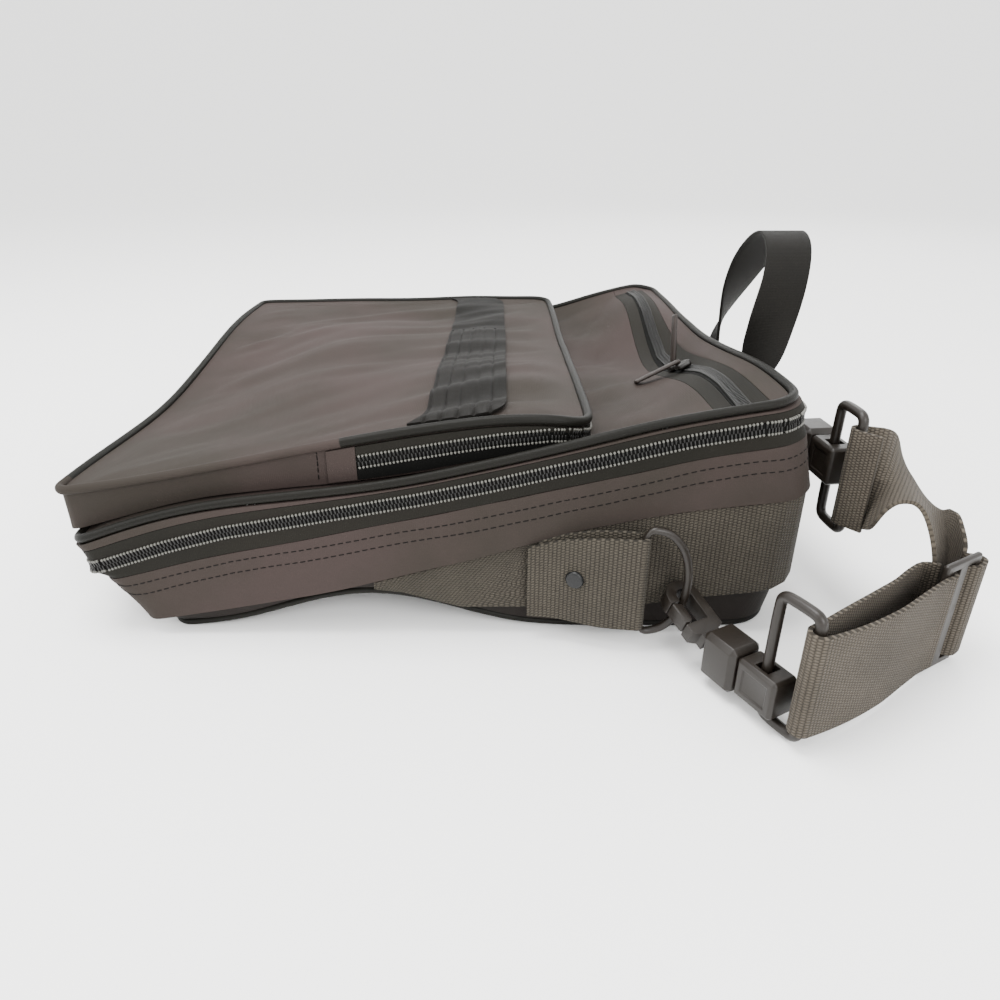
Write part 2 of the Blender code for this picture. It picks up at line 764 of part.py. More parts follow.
def pocket():
    """The raised box pocket, its trim, zipper, end tabs and dark band."""
    cloth = front_grid()
    wall = pocket_outline(-POCKET_WALL_INSET)
    rings = pocket_band(cloth, 0.0, 0.5, wall) + pocket_band(cloth, 0.5, 1.0, wall)[1:]
    yield shell("pocket_gusset", rings, CLOTH), "nylon"

    piping = [(x, y, pocket_height(x, y)) for x, y in pocket_outline(-PIPING_RADIUS)]
    yield tube("pocket_piping", piping, PIPING_RADIUS, True), "trim"

    outline = pocket_outline(-2 * PIPING_RADIUS - GAP)
    left_edge = -BAG_LENGTH / 2
    band_columns = (BAND_START / POCKET_END, (BAND_START + BAND_WIDTH) / POCKET_END)
    first, last = BAND_FIRST_COLUMN, BAND_FIRST_COLUMN + BAND_COLUMNS
    columns = [lerp(0.0, band_columns[0], k / first) for k in range(first)]
    columns += [lerp(*band_columns, k / BAND_COLUMNS) for k in range(BAND_COLUMNS + 1)] + [1.0]
    grid = []
    for y in grid_rows(outline):
        left, right = span_at(outline, y)
        xs = [lerp(left, right, c) for c in columns]
        grid.append([(x, y, pocket_height(x, y)) for x in xs])
    yield sheet("pocket_panel", grid, CLOTH), "nylon"

    on_top = GAP + BAND_THICKNESS
    band = [[(x, y, z + on_top) for x, y, z in row[first:last + 1]] for row in grid[1:-1]]
    split = round(len(band) * RIBBED_SHARE)
    yield sheet("ribbed_band", band[:split], BAND_THICKNESS), "band"
    plain = [[(x, y + GAP, z) for x, y, z in band[split - 1]]] + band[split:]
    yield sheet("plain_band", plain, BAND_THICKNESS), "band"

    zip_line = pocket_outline(-POCKET_ZIP_INSET)
    start_x = left_edge + POCKET_ZIP_START
    turn = next(k for k, (x, _) in enumerate(zip_line) if x < start_x)
    head = next(k for k in range(len(zip_line) - 1, 0, -1) if zip_line[k][0] < start_x) + 1
    path = zip_line[head:] + zip_line[:turn]
    path = [(start_x, path[0][1])] + path + [(start_x, path[-1][1])]
    for name, low, high, thickness, surface in POCKET_WALL_BANDS:
        yield shell(name, pocket_band(cloth, low, high, path), thickness, closed=False), surface
    for side, edge in (("near", path[0][1]), ("far", path[-1][1])):
        tab = [(start_x - GAP - END_TAB_WIDTH, edge), (start_x - GAP, edge)]
        points = tab if side == "near" else tab[::-1]
        rings = pocket_band(cloth, *END_TAB_SHARES, points)
        yield shell("pocket_end_tab_" + side, rings, TAPE, closed=False), "nylon"


def belt():
    """The webbing round the rear gusset, from the near side round the top end to the far side."""
    outline = bag_outline("belly", GAP + WEB_THICKNESS)
    start_x = -BAG_LENGTH / 2 + BELT_START
    turn = next(k for k, (x, _) in enumerate(outline) if x < start_x)
    head = next(k for k in range(len(outline) - 1, 0, -1) if outline[k][0] < start_x) + 1
    path = outline[head:] + outline[:turn]
    path = [(start_x, path[0][1])] + path + [(start_x, path[-1][1])]
    low, high = [], []
    for x, y in path:
        top = level_height("seam", x, y) - BELT_DROP
        bottom = max(top - WEB_WIDTH, BELT_LOWEST, arch_lift(x, y) + 2 * PIPING_RADIUS + 2 * GAP)
        low.append((x, y, bottom))
        high.append((x, y, top))
    yield shell("belt_webbing", [low, high], WEB_THICKNESS, closed=False), "webbing"


def plan_frame(x, y, z, heading, tilt=0.0):
    """A frame at a place whose X runs along a heading in plan, tipped down by a tilt."""
    turn = Matrix.Rotation(math.radians(heading), 4, "Z") @ Matrix.Rotation(math.radians(tilt), 4, "Y")
    return Matrix.Translation((x, y, z)) @ turn


def arc(centre_x, centre_y, radius, start, end, steps):
    """Points along an arc, from one angle to another in degrees."""
    angles = [math.radians(lerp(start, end, k / steps)) for k in range(steps + 1)]
    return [(centre_x + radius * math.cos(a), centre_y + radius * math.sin(a)) for a in angles]


def placed(frame, points):
    """Points of a frame's own X and Y, put in the model."""
    return [frame @ Vector((x, y, 0.0)) for x, y in points]


def ring_tab(side, frame):
    """A doubled webbing tab that stands off the belt and holds a D ring at its end.

    The frame's X runs along the belt towards the ring, its Y away from the bag and its Z up the webbing.
    """
    wrap = RING_BAR + WEB_THICKNESS / 2 + RING_CLEARANCE
    seat = GAP + WEB_THICKNESS / 2
    path = [(0.0, seat + TAB_LAYERS)]
    for (along, out), layer in zip(TAB_OUTER, (seat + TAB_LAYERS, wrap)):
        path.append((along * TAB_LENGTH, out * TAB_STANDOFF + layer))
    path += arc(TAB_LENGTH, TAB_STANDOFF, wrap, 90.0, -90.0, 6)
    path += [(along * TAB_LENGTH, seat + out * TAB_STANDOFF) for along, out in TAB_INNER]
    stations = []
    for point in placed(frame, path):
        low = point.z - WEB_WIDTH / 2
        high = min(point.z + WEB_WIDTH / 2, level_height("seam", point.x, point.y) - TAB_DROP)
        stations.append((Vector((point.x, point.y, (low + high) / 2)), Vector((0.0, 0.0, (high - low) / 2))))
    yield ribbon("ring_tab_" + side, stations, WEB_THICKNESS), "webbing"

    height = WEB_WIDTH / 2 + RING_OVERHANG
    bend = RING_REACH - RING_SHOULDER
    outline = [(0.0, -height), (0.0, height), (RING_SHOULDER, height)]
    outline += [(RING_SHOULDER + bend * math.sin(a), height * math.cos(a))
                for a in (math.pi * k / RING_STEPS for k in range(1, RING_STEPS))]
    outline += [(RING_SHOULDER, -height)]
    bar = [frame @ Vector((TAB_LENGTH + u, TAB_STANDOFF, v)) for u, v in outline]
    yield tube("d_ring_" + side, bar, RING_BAR, True), "plastic"

    button = bmesh.new()
    bmesh.ops.create_cone(button, cap_ends=True, segments=RIVET_SIDES, radius1=RIVET_RADIUS,
                          radius2=RIVET_RADIUS * RIVET_TAPER, depth=RIVET_HEIGHT)
    rivet = mesh_object("tab_rivet_" + side, button)
    face = (Vector(path[2]) - Vector(path[1])).normalized()
    seat = Vector(path[1]).lerp(Vector(path[2]), RIVET_SHARE)
    seat += Vector((-face.y, face.x)) * (WEB_THICKNESS / 2 + RIVET_HEIGHT / 2 + GAP)
    slope = Matrix.Rotation(math.atan2(face.y, face.x), 4, "Z") @ Matrix.Rotation(math.radians(-90.0), 4, "X")
    rivet.matrix_world = frame @ Matrix.Translation((*seat, 0.0)) @ slope
    yield rivet, "rivet"


def hook_outline():
    """The hook seen flat: spine, crook, open mouth and tapered neck, with its tip at the frame's origin."""
    outer = HOOK_WIDTH / 2
    inner = outer - HOOK_WALL
    mouth = HOOK_LENGTH - HOOK_BASE - GATE_LENGTH
    base = HOOK_LENGTH - HOOK_BASE
    points = arc(outer, 0.0, outer, 270.0, 90.0, 8)
    points += [(mouth, outer), (mouth, inner)]
    points += arc(outer, 0.0, inner, 90.0, 270.0, 6)
    points += [(base, -inner), (base, outer), (HOOK_LENGTH, outer)]
    points += [(HOOK_LENGTH + 0.4 * NECK_LENGTH, NECK_RADIUS), (HOOK_LENGTH + NECK_LENGTH, NECK_RADIUS)]
    points += [(HOOK_LENGTH + NECK_LENGTH, -NECK_RADIUS), (HOOK_LENGTH + 0.4 * NECK_LENGTH, -NECK_RADIUS)]
    points += [(HOOK_LENGTH, -outer)]
    return points


def gate_pivot():
    """Where the gate turns, in the hook's frame."""
    inner = HOOK_WIDTH / 2 - HOOK_WALL
    return HOOK_LENGTH - HOOK_BASE - GATE_RADIUS - GAP, (HOOK_WIDTH / 2 + inner) / 2


def gate_outline():
    """The sprung gate seen flat, round at its pivot, which is the frame's origin."""
    radius = GATE_RADIUS
    mouth = HOOK_LENGTH - HOOK_BASE - GATE_LENGTH
    reach = gate_pivot()[0] - mouth - GAP
    nose = [(-reach, radius), (-reach, 0.2 * radius), (-reach + 0.8 * radius, -radius)]
    return arc(0.0, 0.0, radius, -90.0, 90.0, 4) + nose


def snap_hook(side, frame, level, cutters):
    """A swivel snap hook: hook, sprung gate, collar, tongue and the loop that the strap runs round.

    The frame's origin is the hook's tip and its X runs towards the strap. The collar and what follows it stand
    level on a frame of their own.
    """
    yield flat_plate("clip_hook_" + side, hook_outline(), HOOK_THICKNESS, frame), "plastic"
    pivot = frame @ Matrix.Translation((*gate_pivot(), 0.0))
    yield flat_plate("clip_gate_" + side, gate_outline(), HOOK_THICKNESS, pivot), "plastic"

    collar_middle = Matrix.Translation((COLLAR_SIZE[0] / 2, 0.0, 0.0))
    yield bevelled_box("clip_collar_" + side, COLLAR_SIZE, COLLAR_BEVEL, level @ collar_middle), "plastic"
    eye_x = COLLAR_SIZE[0] + GAP + TONGUE_SIZE[0] / 2
    tongue_middle = level @ Matrix.Translation((eye_x, 0.0, 0.0))
    tongue = bevelled_box("clip_tongue_" + side, TONGUE_SIZE, TONGUE_BEVEL, tongue_middle)
    eye = 2 * LOOP_BAR + 2 * LOOP_CLEARANCE
    cut(tongue, (eye, eye, 2 * TONGUE_SIZE[2]), tongue_middle, cutters)
    yield tongue, "plastic"

    lift = loop_middle(level, side) - level.translation.z
    half, corner = LOOP_HALF, LOOP_CORNER
    near, far = eye_x, eye_x + LOOP_LENGTH
    path = arc(far - corner, half - corner, corner, 90.0, 0.0, 3)
    path += arc(far - corner, corner - half, corner, 0.0, -90.0, 3)
    path += arc(near + corner, corner - half, corner, -90.0, -180.0, 3)
    path += arc(near + corner, half - corner, corner, 180.0, 90.0, 3)
    bar = [level @ Vector((u, 0.0, v + lift)) for u, v in path]
    yield tube("clip_loop_" + side, bar, LOOP_BAR, True), "plastic"


def loop_middle(level, side):
    """Height of the middle of a clip's loop, which stands on the floor on the near side."""
    return LOOP_HALF + LOOP_BAR + FLOOR_GAP if side == "near" else level.translation.z


def tab_frame(side):
    """A frame on the belt whose X runs towards the ring and whose Y points away from the bag."""
    if side == "near":
        edge = -BAG_WIDTH / 2 + INSETS["belly"][2] - WEB_THICKNESS - GAP
        place = Matrix.Translation((-BAG_LENGTH / 2 + NEAR_TAB_START, edge, NEAR_TAB_HEIGHT))
        return place @ Matrix.Rotation(math.pi, 4, "X")
    edge = BAG_LENGTH / 2 - INSETS["belly"][1] + WEB_THICKNESS + GAP
    place = Matrix.Translation((edge, -BAG_WIDTH / 2 + TOP_TAB_START, TOP_TAB_HEIGHT))
    return place @ Matrix.Rotation(-math.pi / 2, 4, "Z")


def clip_frames(side, heading, tilt, drop):
    """The frame of a hook that hangs on its ring, and the level frame of what follows it."""
    share = drop / (WEB_WIDTH / 2 + RING_OVERHANG)
    reach = RING_SHOULDER + (RING_REACH - RING_SHOULDER) * math.sqrt(1.0 - share * share)
    hold = tab_frame(side) @ Vector((TAB_LENGTH + reach, TAB_STANDOFF, 0.0))
    hold.z += drop
    play = HOOK_THICKNESS / 2 * abs(math.sin(math.radians(tilt))) + RING_PLAY
    tip = plan_frame(*hold, heading, tilt) @ Vector((-HOOK_WALL - RING_BAR - play, 0.0, 0.0))
    frame = plan_frame(*tip, heading, tilt) @ Matrix.Rotation(math.pi, 4, "X")
    slack = HOOK_THICKNESS / 2 * abs(math.sin(math.radians(tilt))) + 2 * GAP
    end = frame @ Vector((HOOK_LENGTH + NECK_LENGTH + slack, 0.0, 0.0))
    return frame, plan_frame(*end, heading)


def fittings(cutters):
    """The two ring tabs with their snap hooks."""
    for side, heading, tilt, drop in CLIPS:
        yield from ring_tab(side, tab_frame(side))
        yield from snap_hook(side, *clip_frames(side, heading, tilt, drop), cutters)


def far_bar(side, heading, tilt, drop):
    """The middle of the bar that the strap runs round."""
    level = clip_frames(side, heading, tilt, drop)[1]
    reach = COLLAR_SIZE[0] + GAP + TONGUE_SIZE[0] / 2 + LOOP_LENGTH
    place = level @ Vector((reach, 0.0, 0.0))
    return Vector((place.x, place.y, loop_middle(level, side)))


def turn_round(bar, towards):
    """The strap's way round a loop's far bar, on the side away from where it comes from."""
    wrap = LOOP_BAR + WEB_THICKNESS / 2 + GAP
    side = math.degrees(math.atan2(towards.y - bar.y, towards.x - bar.x))
    return [Vector((x, y, bar.z)) for x, y in arc(bar.x, bar.y, wrap, side + 90.0, side + 270.0, 8)]


def strap_run(rows, start, end, entry, leaving):
    """One run of the strap from its entry to where it leaves: smooth points, each with the webbing's lean."""
    way = end - start
    sideways = Vector((-way.y, way.x, 0.0))
    level = Vector((way.x, way.y, 0.0))
    points = [(*entry, 0.0)]
    for along, side, rise, lean in rows:
        points.append((*(start + level * along + sideways * side + Vector((0.0, 0.0, way.z * rise))), lean))
    points.append((*leaving, 0.0))
    return [(p.to_3d(), p.w) for p in smooth_path([Vector(p) for p in points], STRAP_SPANS)[1:-1]]


def strap(cutters):
    """The shoulder strap: doubled between the near clip and its slider, with its tail up to the other clip."""
    up = Vector((0.0, 0.0, 1.0))
    x = BAG_LENGTH / 2 + STRAP_SLIDER_BEYOND["end"]
    y = -BAG_WIDTH / 2 - STRAP_SLIDER_BEYOND["side"]
    frame = plan_frame(x, y, STRAP_SLIDER_SIZE[2] / 2 + FLOOR_GAP, STRAP_SLIDER_HEADING)
    slider = bevelled_box("strap_slider", STRAP_SLIDER_SIZE, STRAP_SLIDER_BEVEL, frame)
    slot = (SLOT_WIDTH, 4 * STRAP_SLIDER_SIZE[1], STRAP_SLIDER_SIZE[2] - 2 * SLOT_MARGIN)
    for way in (-1, 1):
        cut(slider, slot, frame @ Matrix.Translation((way * SLOT_PLACE, 0.0, 0.0)), cutters)
    yield slider, "plastic"

    bar, high = far_bar(*CLIPS[0]), far_bar(*CLIPS[1])
    over = STRAP_SLIDER_SIZE[1] / 2 + WEB_THICKNESS / 2 + GAP
    woven = [frame @ Vector((along, side * over, 0.0)) for along, side in SLIDER_WEAVE]
    rest = frame.translation
    turned, final = turn_round(bar, rest), turn_round(high, rest)
    path = strap_run(STRAP_BACK, rest, bar, rest, turned[0])
    path += [(point, 0.0) for point in turned]
    path += strap_run(STRAP_FRONT, bar, rest, turned[-1], woven[0])
    path += [(point, 0.0) for point in woven]
    path += strap_run(STRAP_TAIL, rest, high, woven[-1], final[0])
    path += [(point, 0.0) for point in final]
    back = (rest - high) * Vector((1.0, 1.0, 0.0))
    path += [(final[-1] + back.normalized() * STRAP_TURNBACK, 0.0)]
    stations = []
    for point, lean in path:
        stations.append((point, up.lerp(Vector(STRAP_EDGE_ON), lean).normalized() * WEB_WIDTH / 2))
    yield ribbon("shoulder_strap", stations, WEB_THICKNESS), "webbing"


def handle():
    """The carrying handle: one loop of webbing on the top end."""
    skirt, tape = INSETS["skirt"][1], INSETS["tape"][1]
    clear = HANDLE_THICKNESS / 2 + 2 * GAP
    stations = []
    for across, out, rise, turn in HANDLE_ROWS:
        angle = math.radians(turn)
        y = HANDLE_OFFSET + across * HANDLE_SPAN
        z = HANDLE_FOOT + rise * HANDLE_RISE
        low, high = level_height("seam", BAG_LENGTH / 2, y), level_height("tape", BAG_LENGTH / 2, y)
        inset = lerp(skirt, tape, min(max((z - low) / (high - low), 0.0), 1.0))
        face = BAG_LENGTH / 2 - inset + clear
        point = Vector((face + out * HANDLE_REACH, y, z))
        stations.append((point, Vector((math.sin(angle), -math.cos(angle), 0.0)) * HANDLE_WIDTH / 2))
    points = smooth_path([p for p, _ in stations], 2)
    widths = smooth_path([a for _, a in stations], 2)
    yield ribbon("carry_handle", list(zip(points, widths)), HANDLE_THICKNESS), "handle"


def sliders():
    """Two sliders on the zipper across the front, each with a leather puller."""
    length, width, height = SLIDER_SIZE
    for name, share, puller, lean in PULLERS:
        y = (share - 0.5) * BAG_WIDTH
        x = top_zip_x(y)
        across = math.atan2(front_height(x, y + width) - front_height(x, y - width), 2 * width)
        along = math.atan2(front_height(x + length, y) - front_height(x - length, y), 2 * length)
        slope = Matrix.Rotation(across, 4, "X") @ Matrix.Rotation(-along, 4, "Y")
        seat = Matrix.Translation((x, y, front_height(x, y) + SLIDER_SEAT)) @ slope
        body = seat @ Matrix.Translation((0.0, 0.0, height / 2))
        yield bevelled_box(name, SLIDER_SIZE, SLIDER_BEVEL, body), "slider"
        angle = math.radians(lean)
        lift = height + GAP + PULLER_SIZE[2] / 2 * abs(math.cos(angle)) - PULLER_ROOT * math.sin(angle)
        root = seat @ Matrix.Translation((0.0, 0.0, lift)) @ Matrix.Rotation(-angle, 4, "Y")
        middle = root @ Matrix.Translation((PULLER_SIZE[0] / 2 + PULLER_ROOT, 0.0, 0.0))
        yield bevelled_box(puller, PULLER_SIZE, PULLER_BEVEL, middle), "leather"


def make_model():
    """Build every piece into one collection."""
    clear_scene()
    model = bpy.data.collections.new("soft_briefcase")
    cutters = bpy.data.collections.new("cutters")
    bpy.context.scene.collection.children.link(model)
    bpy.context.scene.collection.children.link(cutters)
    surfaces = {
        "nylon": material("nylon", (0.140, 0.115, 0.108), 0.70),
        "nylon_dark": material("nylon_dark", (0.075, 0.068, 0.063), 0.80),
        "trim": material("trim", (0.075, 0.072, 0.064), 0.50),
        "tape": material("tape", (0.060, 0.056, 0.052), 0.90),
        "coil": material("coil", (0.180, 0.175, 0.165), 0.35),
        "band": material("band", (0.055, 0.050, 0.045), 0.80),
        "webbing": material("webbing", (0.130, 0.118, 0.100), 0.85),
        "handle": material("handle", (0.050, 0.045, 0.040), 0.80),
        "plastic": material("plastic", (0.090, 0.082, 0.074), 0.42),
        "rivet": material("rivet", (0.030, 0.032, 0.034), 0.35),
        "leather": material("leather", (0.110, 0.075, 0.060), 0.60),
        "slider": material("slider", (0.080, 0.075, 0.070), 0.35, 0.8),
    }
    soft = (back_and_sides(), front(), pocket(), belt())
    for section in (*soft, fittings(cutters), strap(cutters), handle(), sliders()):
        for thing, surface in section:
            link(thing, surfaces[surface], model)


make_model()
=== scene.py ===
# %% [markdown]
# # A soft nylon briefcase lying on its back
# This lesson dresses a packed set of plain solids as a worn nylon briefcase: cloth that sags, zippers
# with teeth, coarse webbing, plastic hooks and a strap. The solids already have the right sizes and
# places, so each step here adds what they lack, and every new piece stays in the space of the solid that
# it stands for.

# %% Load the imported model
import math

import bmesh
import bpy
import numpy as np
from mathutils import Matrix, Vector, noise


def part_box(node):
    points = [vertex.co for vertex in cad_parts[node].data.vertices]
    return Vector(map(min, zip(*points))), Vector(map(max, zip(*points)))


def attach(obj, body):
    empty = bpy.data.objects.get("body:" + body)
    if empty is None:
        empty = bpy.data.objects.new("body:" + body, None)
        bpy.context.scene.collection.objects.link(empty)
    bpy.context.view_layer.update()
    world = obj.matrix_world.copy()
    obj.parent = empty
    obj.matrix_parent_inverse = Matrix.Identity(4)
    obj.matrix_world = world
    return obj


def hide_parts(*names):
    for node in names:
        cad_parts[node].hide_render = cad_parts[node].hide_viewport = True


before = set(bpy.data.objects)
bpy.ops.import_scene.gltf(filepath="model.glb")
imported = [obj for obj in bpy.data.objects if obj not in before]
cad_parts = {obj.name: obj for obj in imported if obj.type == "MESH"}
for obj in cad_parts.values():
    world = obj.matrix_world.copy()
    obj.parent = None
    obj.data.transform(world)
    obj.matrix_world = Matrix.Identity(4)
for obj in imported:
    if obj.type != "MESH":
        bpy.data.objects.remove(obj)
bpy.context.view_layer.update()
print("solids:", len(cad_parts))

# %% [markdown]
# ## Small helpers
# Blender's operators work on what is selected, so each step first deselects everything and picks one
# piece. A finished piece gets its finish, rides on its body and hides the plain solids that it stands
# for.


# %% Picking and finishing a piece
SMOOTH_BELOW = 40.0


def pick(piece):
    """Make one piece the only selected one."""
    bpy.ops.object.select_all(action="DESELECT")
    piece.select_set(True)
    bpy.context.view_layer.objects.active = piece


def apply_all(piece):
    """Apply a piece's modifiers in order."""
    pick(piece)
    for modifier in list(piece.modifiers):
        bpy.ops.object.modifier_apply(modifier=modifier.name)


def finish_piece(piece, finish, nodes=(), body="bag"):
    """Give a piece its finish, put it on its body and let it stand for its solids."""
    pick(piece)
    bpy.ops.object.shade_smooth_by_angle(angle=math.radians(SMOOTH_BELOW))
    piece.data.materials.clear()
    piece.data.materials.append(finish)
    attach(piece, body)
    if nodes:
        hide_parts(*nodes)
    print(piece.name, len(piece.data.polygons), "faces")
    return piece


# %% [markdown]
# ## The photograph's viewpoint
# The bag lies on a table and is seen from its near side, looking 26 degrees down. The lens is wide,
# because the near edge looks much longer than the far one. The floor is a pale sweep that bends up behind
# the bag, so no horizon shows, and large soft lamps give the even light of a shop photograph.

# %% Camera
CAMERA_PLACE = (0.033, -0.5126, 0.2348)
CAMERA_TILT = 26.5
CAMERA_LENS = 27.04

bpy.ops.object.camera_add(location=CAMERA_PLACE, rotation=(math.radians(90.0 - CAMERA_TILT), 0.0, 0.0))
camera = bpy.context.object
camera.data.lens = CAMERA_LENS
camera.data.clip_start = 0.01
bpy.context.scene.camera = camera
print("camera at", CAMERA_PLACE)

# %% Floor sweep
FLOOR_SIZE = 12.0
FLOOR_RISE = 6.0
FLOOR_BEND = 4.0

bpy.ops.object.select_all(action="DESELECT")
bpy.ops.mesh.primitive_plane_add(size=FLOOR_SIZE, location=(0.0, 0.0, 0.0))
sweep = bpy.context.object
sweep.name = "floor_sweep"
bpy.ops.object.mode_set(mode="EDIT")
bpy.ops.mesh.select_all(action="DESELECT")
bpy.ops.object.mode_set(mode="OBJECT")
for edge in sweep.data.edges:
    edge.select = all(sweep.data.vertices[v].co.y > 0.0 for v in edge.vertices)
bpy.ops.object.mode_set(mode="EDIT")
bpy.ops.mesh.select_mode(type="EDGE")
bpy.ops.mesh.extrude_region_move(TRANSFORM_OT_translate={"value": (0.0, 0.0, FLOOR_RISE)})
bpy.ops.object.mode_set(mode="OBJECT")
bend = sweep.modifiers.new("bend", "BEVEL")
bend.width = FLOOR_BEND
bend.segments = 32
apply_all(sweep)
bpy.ops.object.shade_smooth()
bpy.ops.object.transform_apply(location=True, rotation=True, scale=True)
paper = bpy.data.materials.new("paper_sweep")
paper.use_nodes = True
paper.node_tree.nodes["Principled BSDF"].inputs["Base Color"].default_value = (0.94, 0.94, 0.93, 1.0)
paper.node_tree.nodes["Principled BSDF"].inputs["Roughness"].default_value = 0.9
sweep.data.materials.append(paper)

# %% Soft lamps
LAMPS = (
    # name, place, what it points at, width in metres, power in watts
    ("lamp_over", (-0.3, -0.1, 1.4), (0.0, 0.0, 0.05), 0.8, 30.0),
    ("lamp_front", (0.6, -1.3, 0.9), (0.05, 0.0, 0.05), 0.7, 19.0),
    ("lamp_left", (-1.3, -0.5, 0.8), (0.0, 0.0, 0.05), 0.7, 10.0),
    ("lamp_back", (0.7, 1.3, 1.1), (0.05, 0.0, 0.08), 0.8, 8.0),
)
WORLD_STRENGTH = 2.3

for name, place, target, size, power in LAMPS:
    bpy.ops.object.light_add(type="AREA", location=place)
    lamp = bpy.context.object
    lamp.name = name
    lamp.data.shape = "DISK"
    lamp.data.size = size
    lamp.data.energy = power
    lamp.rotation_euler = (Vector(target) - Vector(place)).to_track_quat("-Z", "Y").to_euler()
world = bpy.data.worlds.new("studio")
world.use_nodes = True
world.node_tree.nodes["Background"].inputs["Color"].default_value = (1.0, 1.0, 1.0, 1.0)
world.node_tree.nodes["Background"].inputs["Strength"].default_value = WORLD_STRENGTH
bpy.context.scene.world = world
print("lamps:", len(LAMPS))

# %% [markdown]
# ## Finishes
# Every finish is a small tree of nodes. Three little functions keep the trees short: one starts a finish
# with its plain values, one adds a maths node and one mixes two colours. Values that are the same all
# over a surface are set on the shader itself.


# %% Node helpers
def start_finish(name, roughness, **plain):
    """A new finish and its shader, with plain values set on the shader's own sockets."""
    finish = bpy.data.materials.new(name)
    finish.use_nodes = True
    shader = finish.node_tree.nodes["Principled BSDF"]
    shader.inputs["Roughness"].default_value = roughness
    for key, value in plain.items():
        shader.inputs[key.replace("_", " ")].default_value = value
    return finish, finish.node_tree, shader


def feed(tree, socket, value):
    """Link a socket to another node's output, or set it to a number."""
    if isinstance(value, bpy.types.NodeSocket):
        tree.links.new(value, socket)
    else:
        socket.default_value = value


def maths(tree, operation, first, second=0.0):
    """A maths node's result."""
    node = tree.nodes.new("ShaderNodeMath")
    node.operation = operation
    feed(tree, node.inputs[0], first)
    feed(tree, node.inputs[1], second)
    return node.outputs[0]


def blend_colours(tree, share, first, second):
    """A mix of two colours, by a share that runs from none to one."""
    node = tree.nodes.new("ShaderNodeMix")
    node.data_type = "RGBA"
    feed(tree, node.inputs["Factor"], share)
    for socket, value in ((node.inputs["A"], first), (node.inputs["B"], second)):
        feed(tree, socket, (*value, 1.0) if isinstance(value, tuple) else value)
    return node.outputs["Result"]


def place_on(tree, kind):
    """The coordinates that a pattern is laid on: the piece's own place, or its flat length and width."""
    return tree.nodes.new("ShaderNodeTexCoord").outputs[kind]


def speckle(tree, place, scale, detail=3.0, rough=0.55):
    """Soft noise between none and one."""
    node = tree.nodes.new("ShaderNodeTexNoise")
    tree.links.new(place, node.inputs["Vector"])
    node.inputs["Scale"].default_value = scale
    node.inputs["Detail"].default_value = detail
    node.inputs["Roughness"].default_value = rough
    return node.outputs["Fac"]


def spread(tree, value, low, high):
    """Stretch the range from low to high over none to one."""
    node = tree.nodes.new("ShaderNodeMapRange")
    tree.links.new(value, node.inputs["Value"])
    node.inputs["From Min"].default_value = low
    node.inputs["From Max"].default_value = high
    return node.outputs["Result"]


def relief(tree, shader, height, depth, strength=1.0):
    """Let a height pattern press into a shader's surface."""
    node = tree.nodes.new("ShaderNodeBump")
    node.inputs["Strength"].default_value = strength
    node.inputs["Distance"].default_value = depth
    tree.links.new(height, node.inputs["Height"])
    tree.links.new(node.outputs["Normal"], shader.inputs["Normal"])


# %% [markdown]
# ### Close-woven nylon
# The bag's cloth is a smooth taupe nylon. Near by it has a fine grain of threads, and over a hand's width
# its colour drifts between a warm taupe and a greyer olive, with a few dull rubbed places. The threads
# are two fine sets of bands at right angles, broken up with noise so that they don't look printed.


# %% Nylon
THREAD_PITCH = 0.0009


def nylon(name, warm, grey, roughness):
    """Close-woven cloth that drifts between two colours."""
    finish, tree, shader = start_finish(name, roughness)
    shader.inputs["Specular IOR Level"].default_value = 0.10
    place = place_on(tree, "Object")
    drift = spread(tree, speckle(tree, place, 9.0, 4.0), 0.36, 0.64)
    worn = spread(tree, speckle(tree, place, 46.0, 5.0, 0.65), 0.60, 0.74)
    grain = speckle(tree, place, 1900.0, 2.0)
    colour = blend_colours(tree, drift, warm, grey)
    pale = tuple(min(1.0, 1.28 * part) for part in warm)
    colour = blend_colours(tree, maths(tree, "MULTIPLY", worn, 0.22), colour, pale)
    dark = tuple(0.72 * part for part in grey)
    colour = blend_colours(tree, maths(tree, "MULTIPLY", grain, 0.34), colour, dark)
    tree.links.new(colour, shader.inputs["Base Color"])
    split = tree.nodes.new("ShaderNodeSeparateXYZ")
    tree.links.new(place, split.inputs[0])
    threads = []
    for axis in ("X", "Y", "Z"):
        turns = maths(tree, "MULTIPLY", split.outputs[axis], 2 * math.pi / THREAD_PITCH)
        threads.append(maths(tree, "SINE", turns))
    woven = maths(tree, "ADD", maths(tree, "ADD", threads[0], threads[1]), threads[2])
    relief(tree, shader, maths(tree, "ADD", maths(tree, "MULTIPLY", woven, 0.16), grain), 0.00012, 0.55)
    return finish


taupe_nylon = nylon("taupe_nylon", (0.0345, 0.0245, 0.0225), (0.0225, 0.0185, 0.0150), 0.70)
# A darker copy of the same nylon, as painted shade for the shadowed back panel and rear gusset.
painted_shade_nylon = nylon("painted_shade_nylon", (0.0110, 0.0080, 0.0070), (0.0080, 0.0068, 0.0056), 0.62)
tape_cloth = nylon("tape_cloth", (0.0100, 0.0088, 0.0068), (0.0070, 0.0066, 0.0050), 0.75)
# Near-black tape, as painted shade in the gaps between the zipper teeth and below the pocket's zipper.
painted_shade_tape = nylon("painted_shade_tape", (0.0022, 0.0022, 0.0018), (0.0015, 0.0016, 0.0013), 0.85)
trim_cloth = nylon("trim_cloth", (0.0068, 0.0062, 0.0048), (0.0048, 0.0047, 0.0036), 0.50)
band_cloth = nylon("band_cloth", (0.0052, 0.0043, 0.0034), (0.0038, 0.0034, 0.0027), 0.66)
print("cloths: 6")
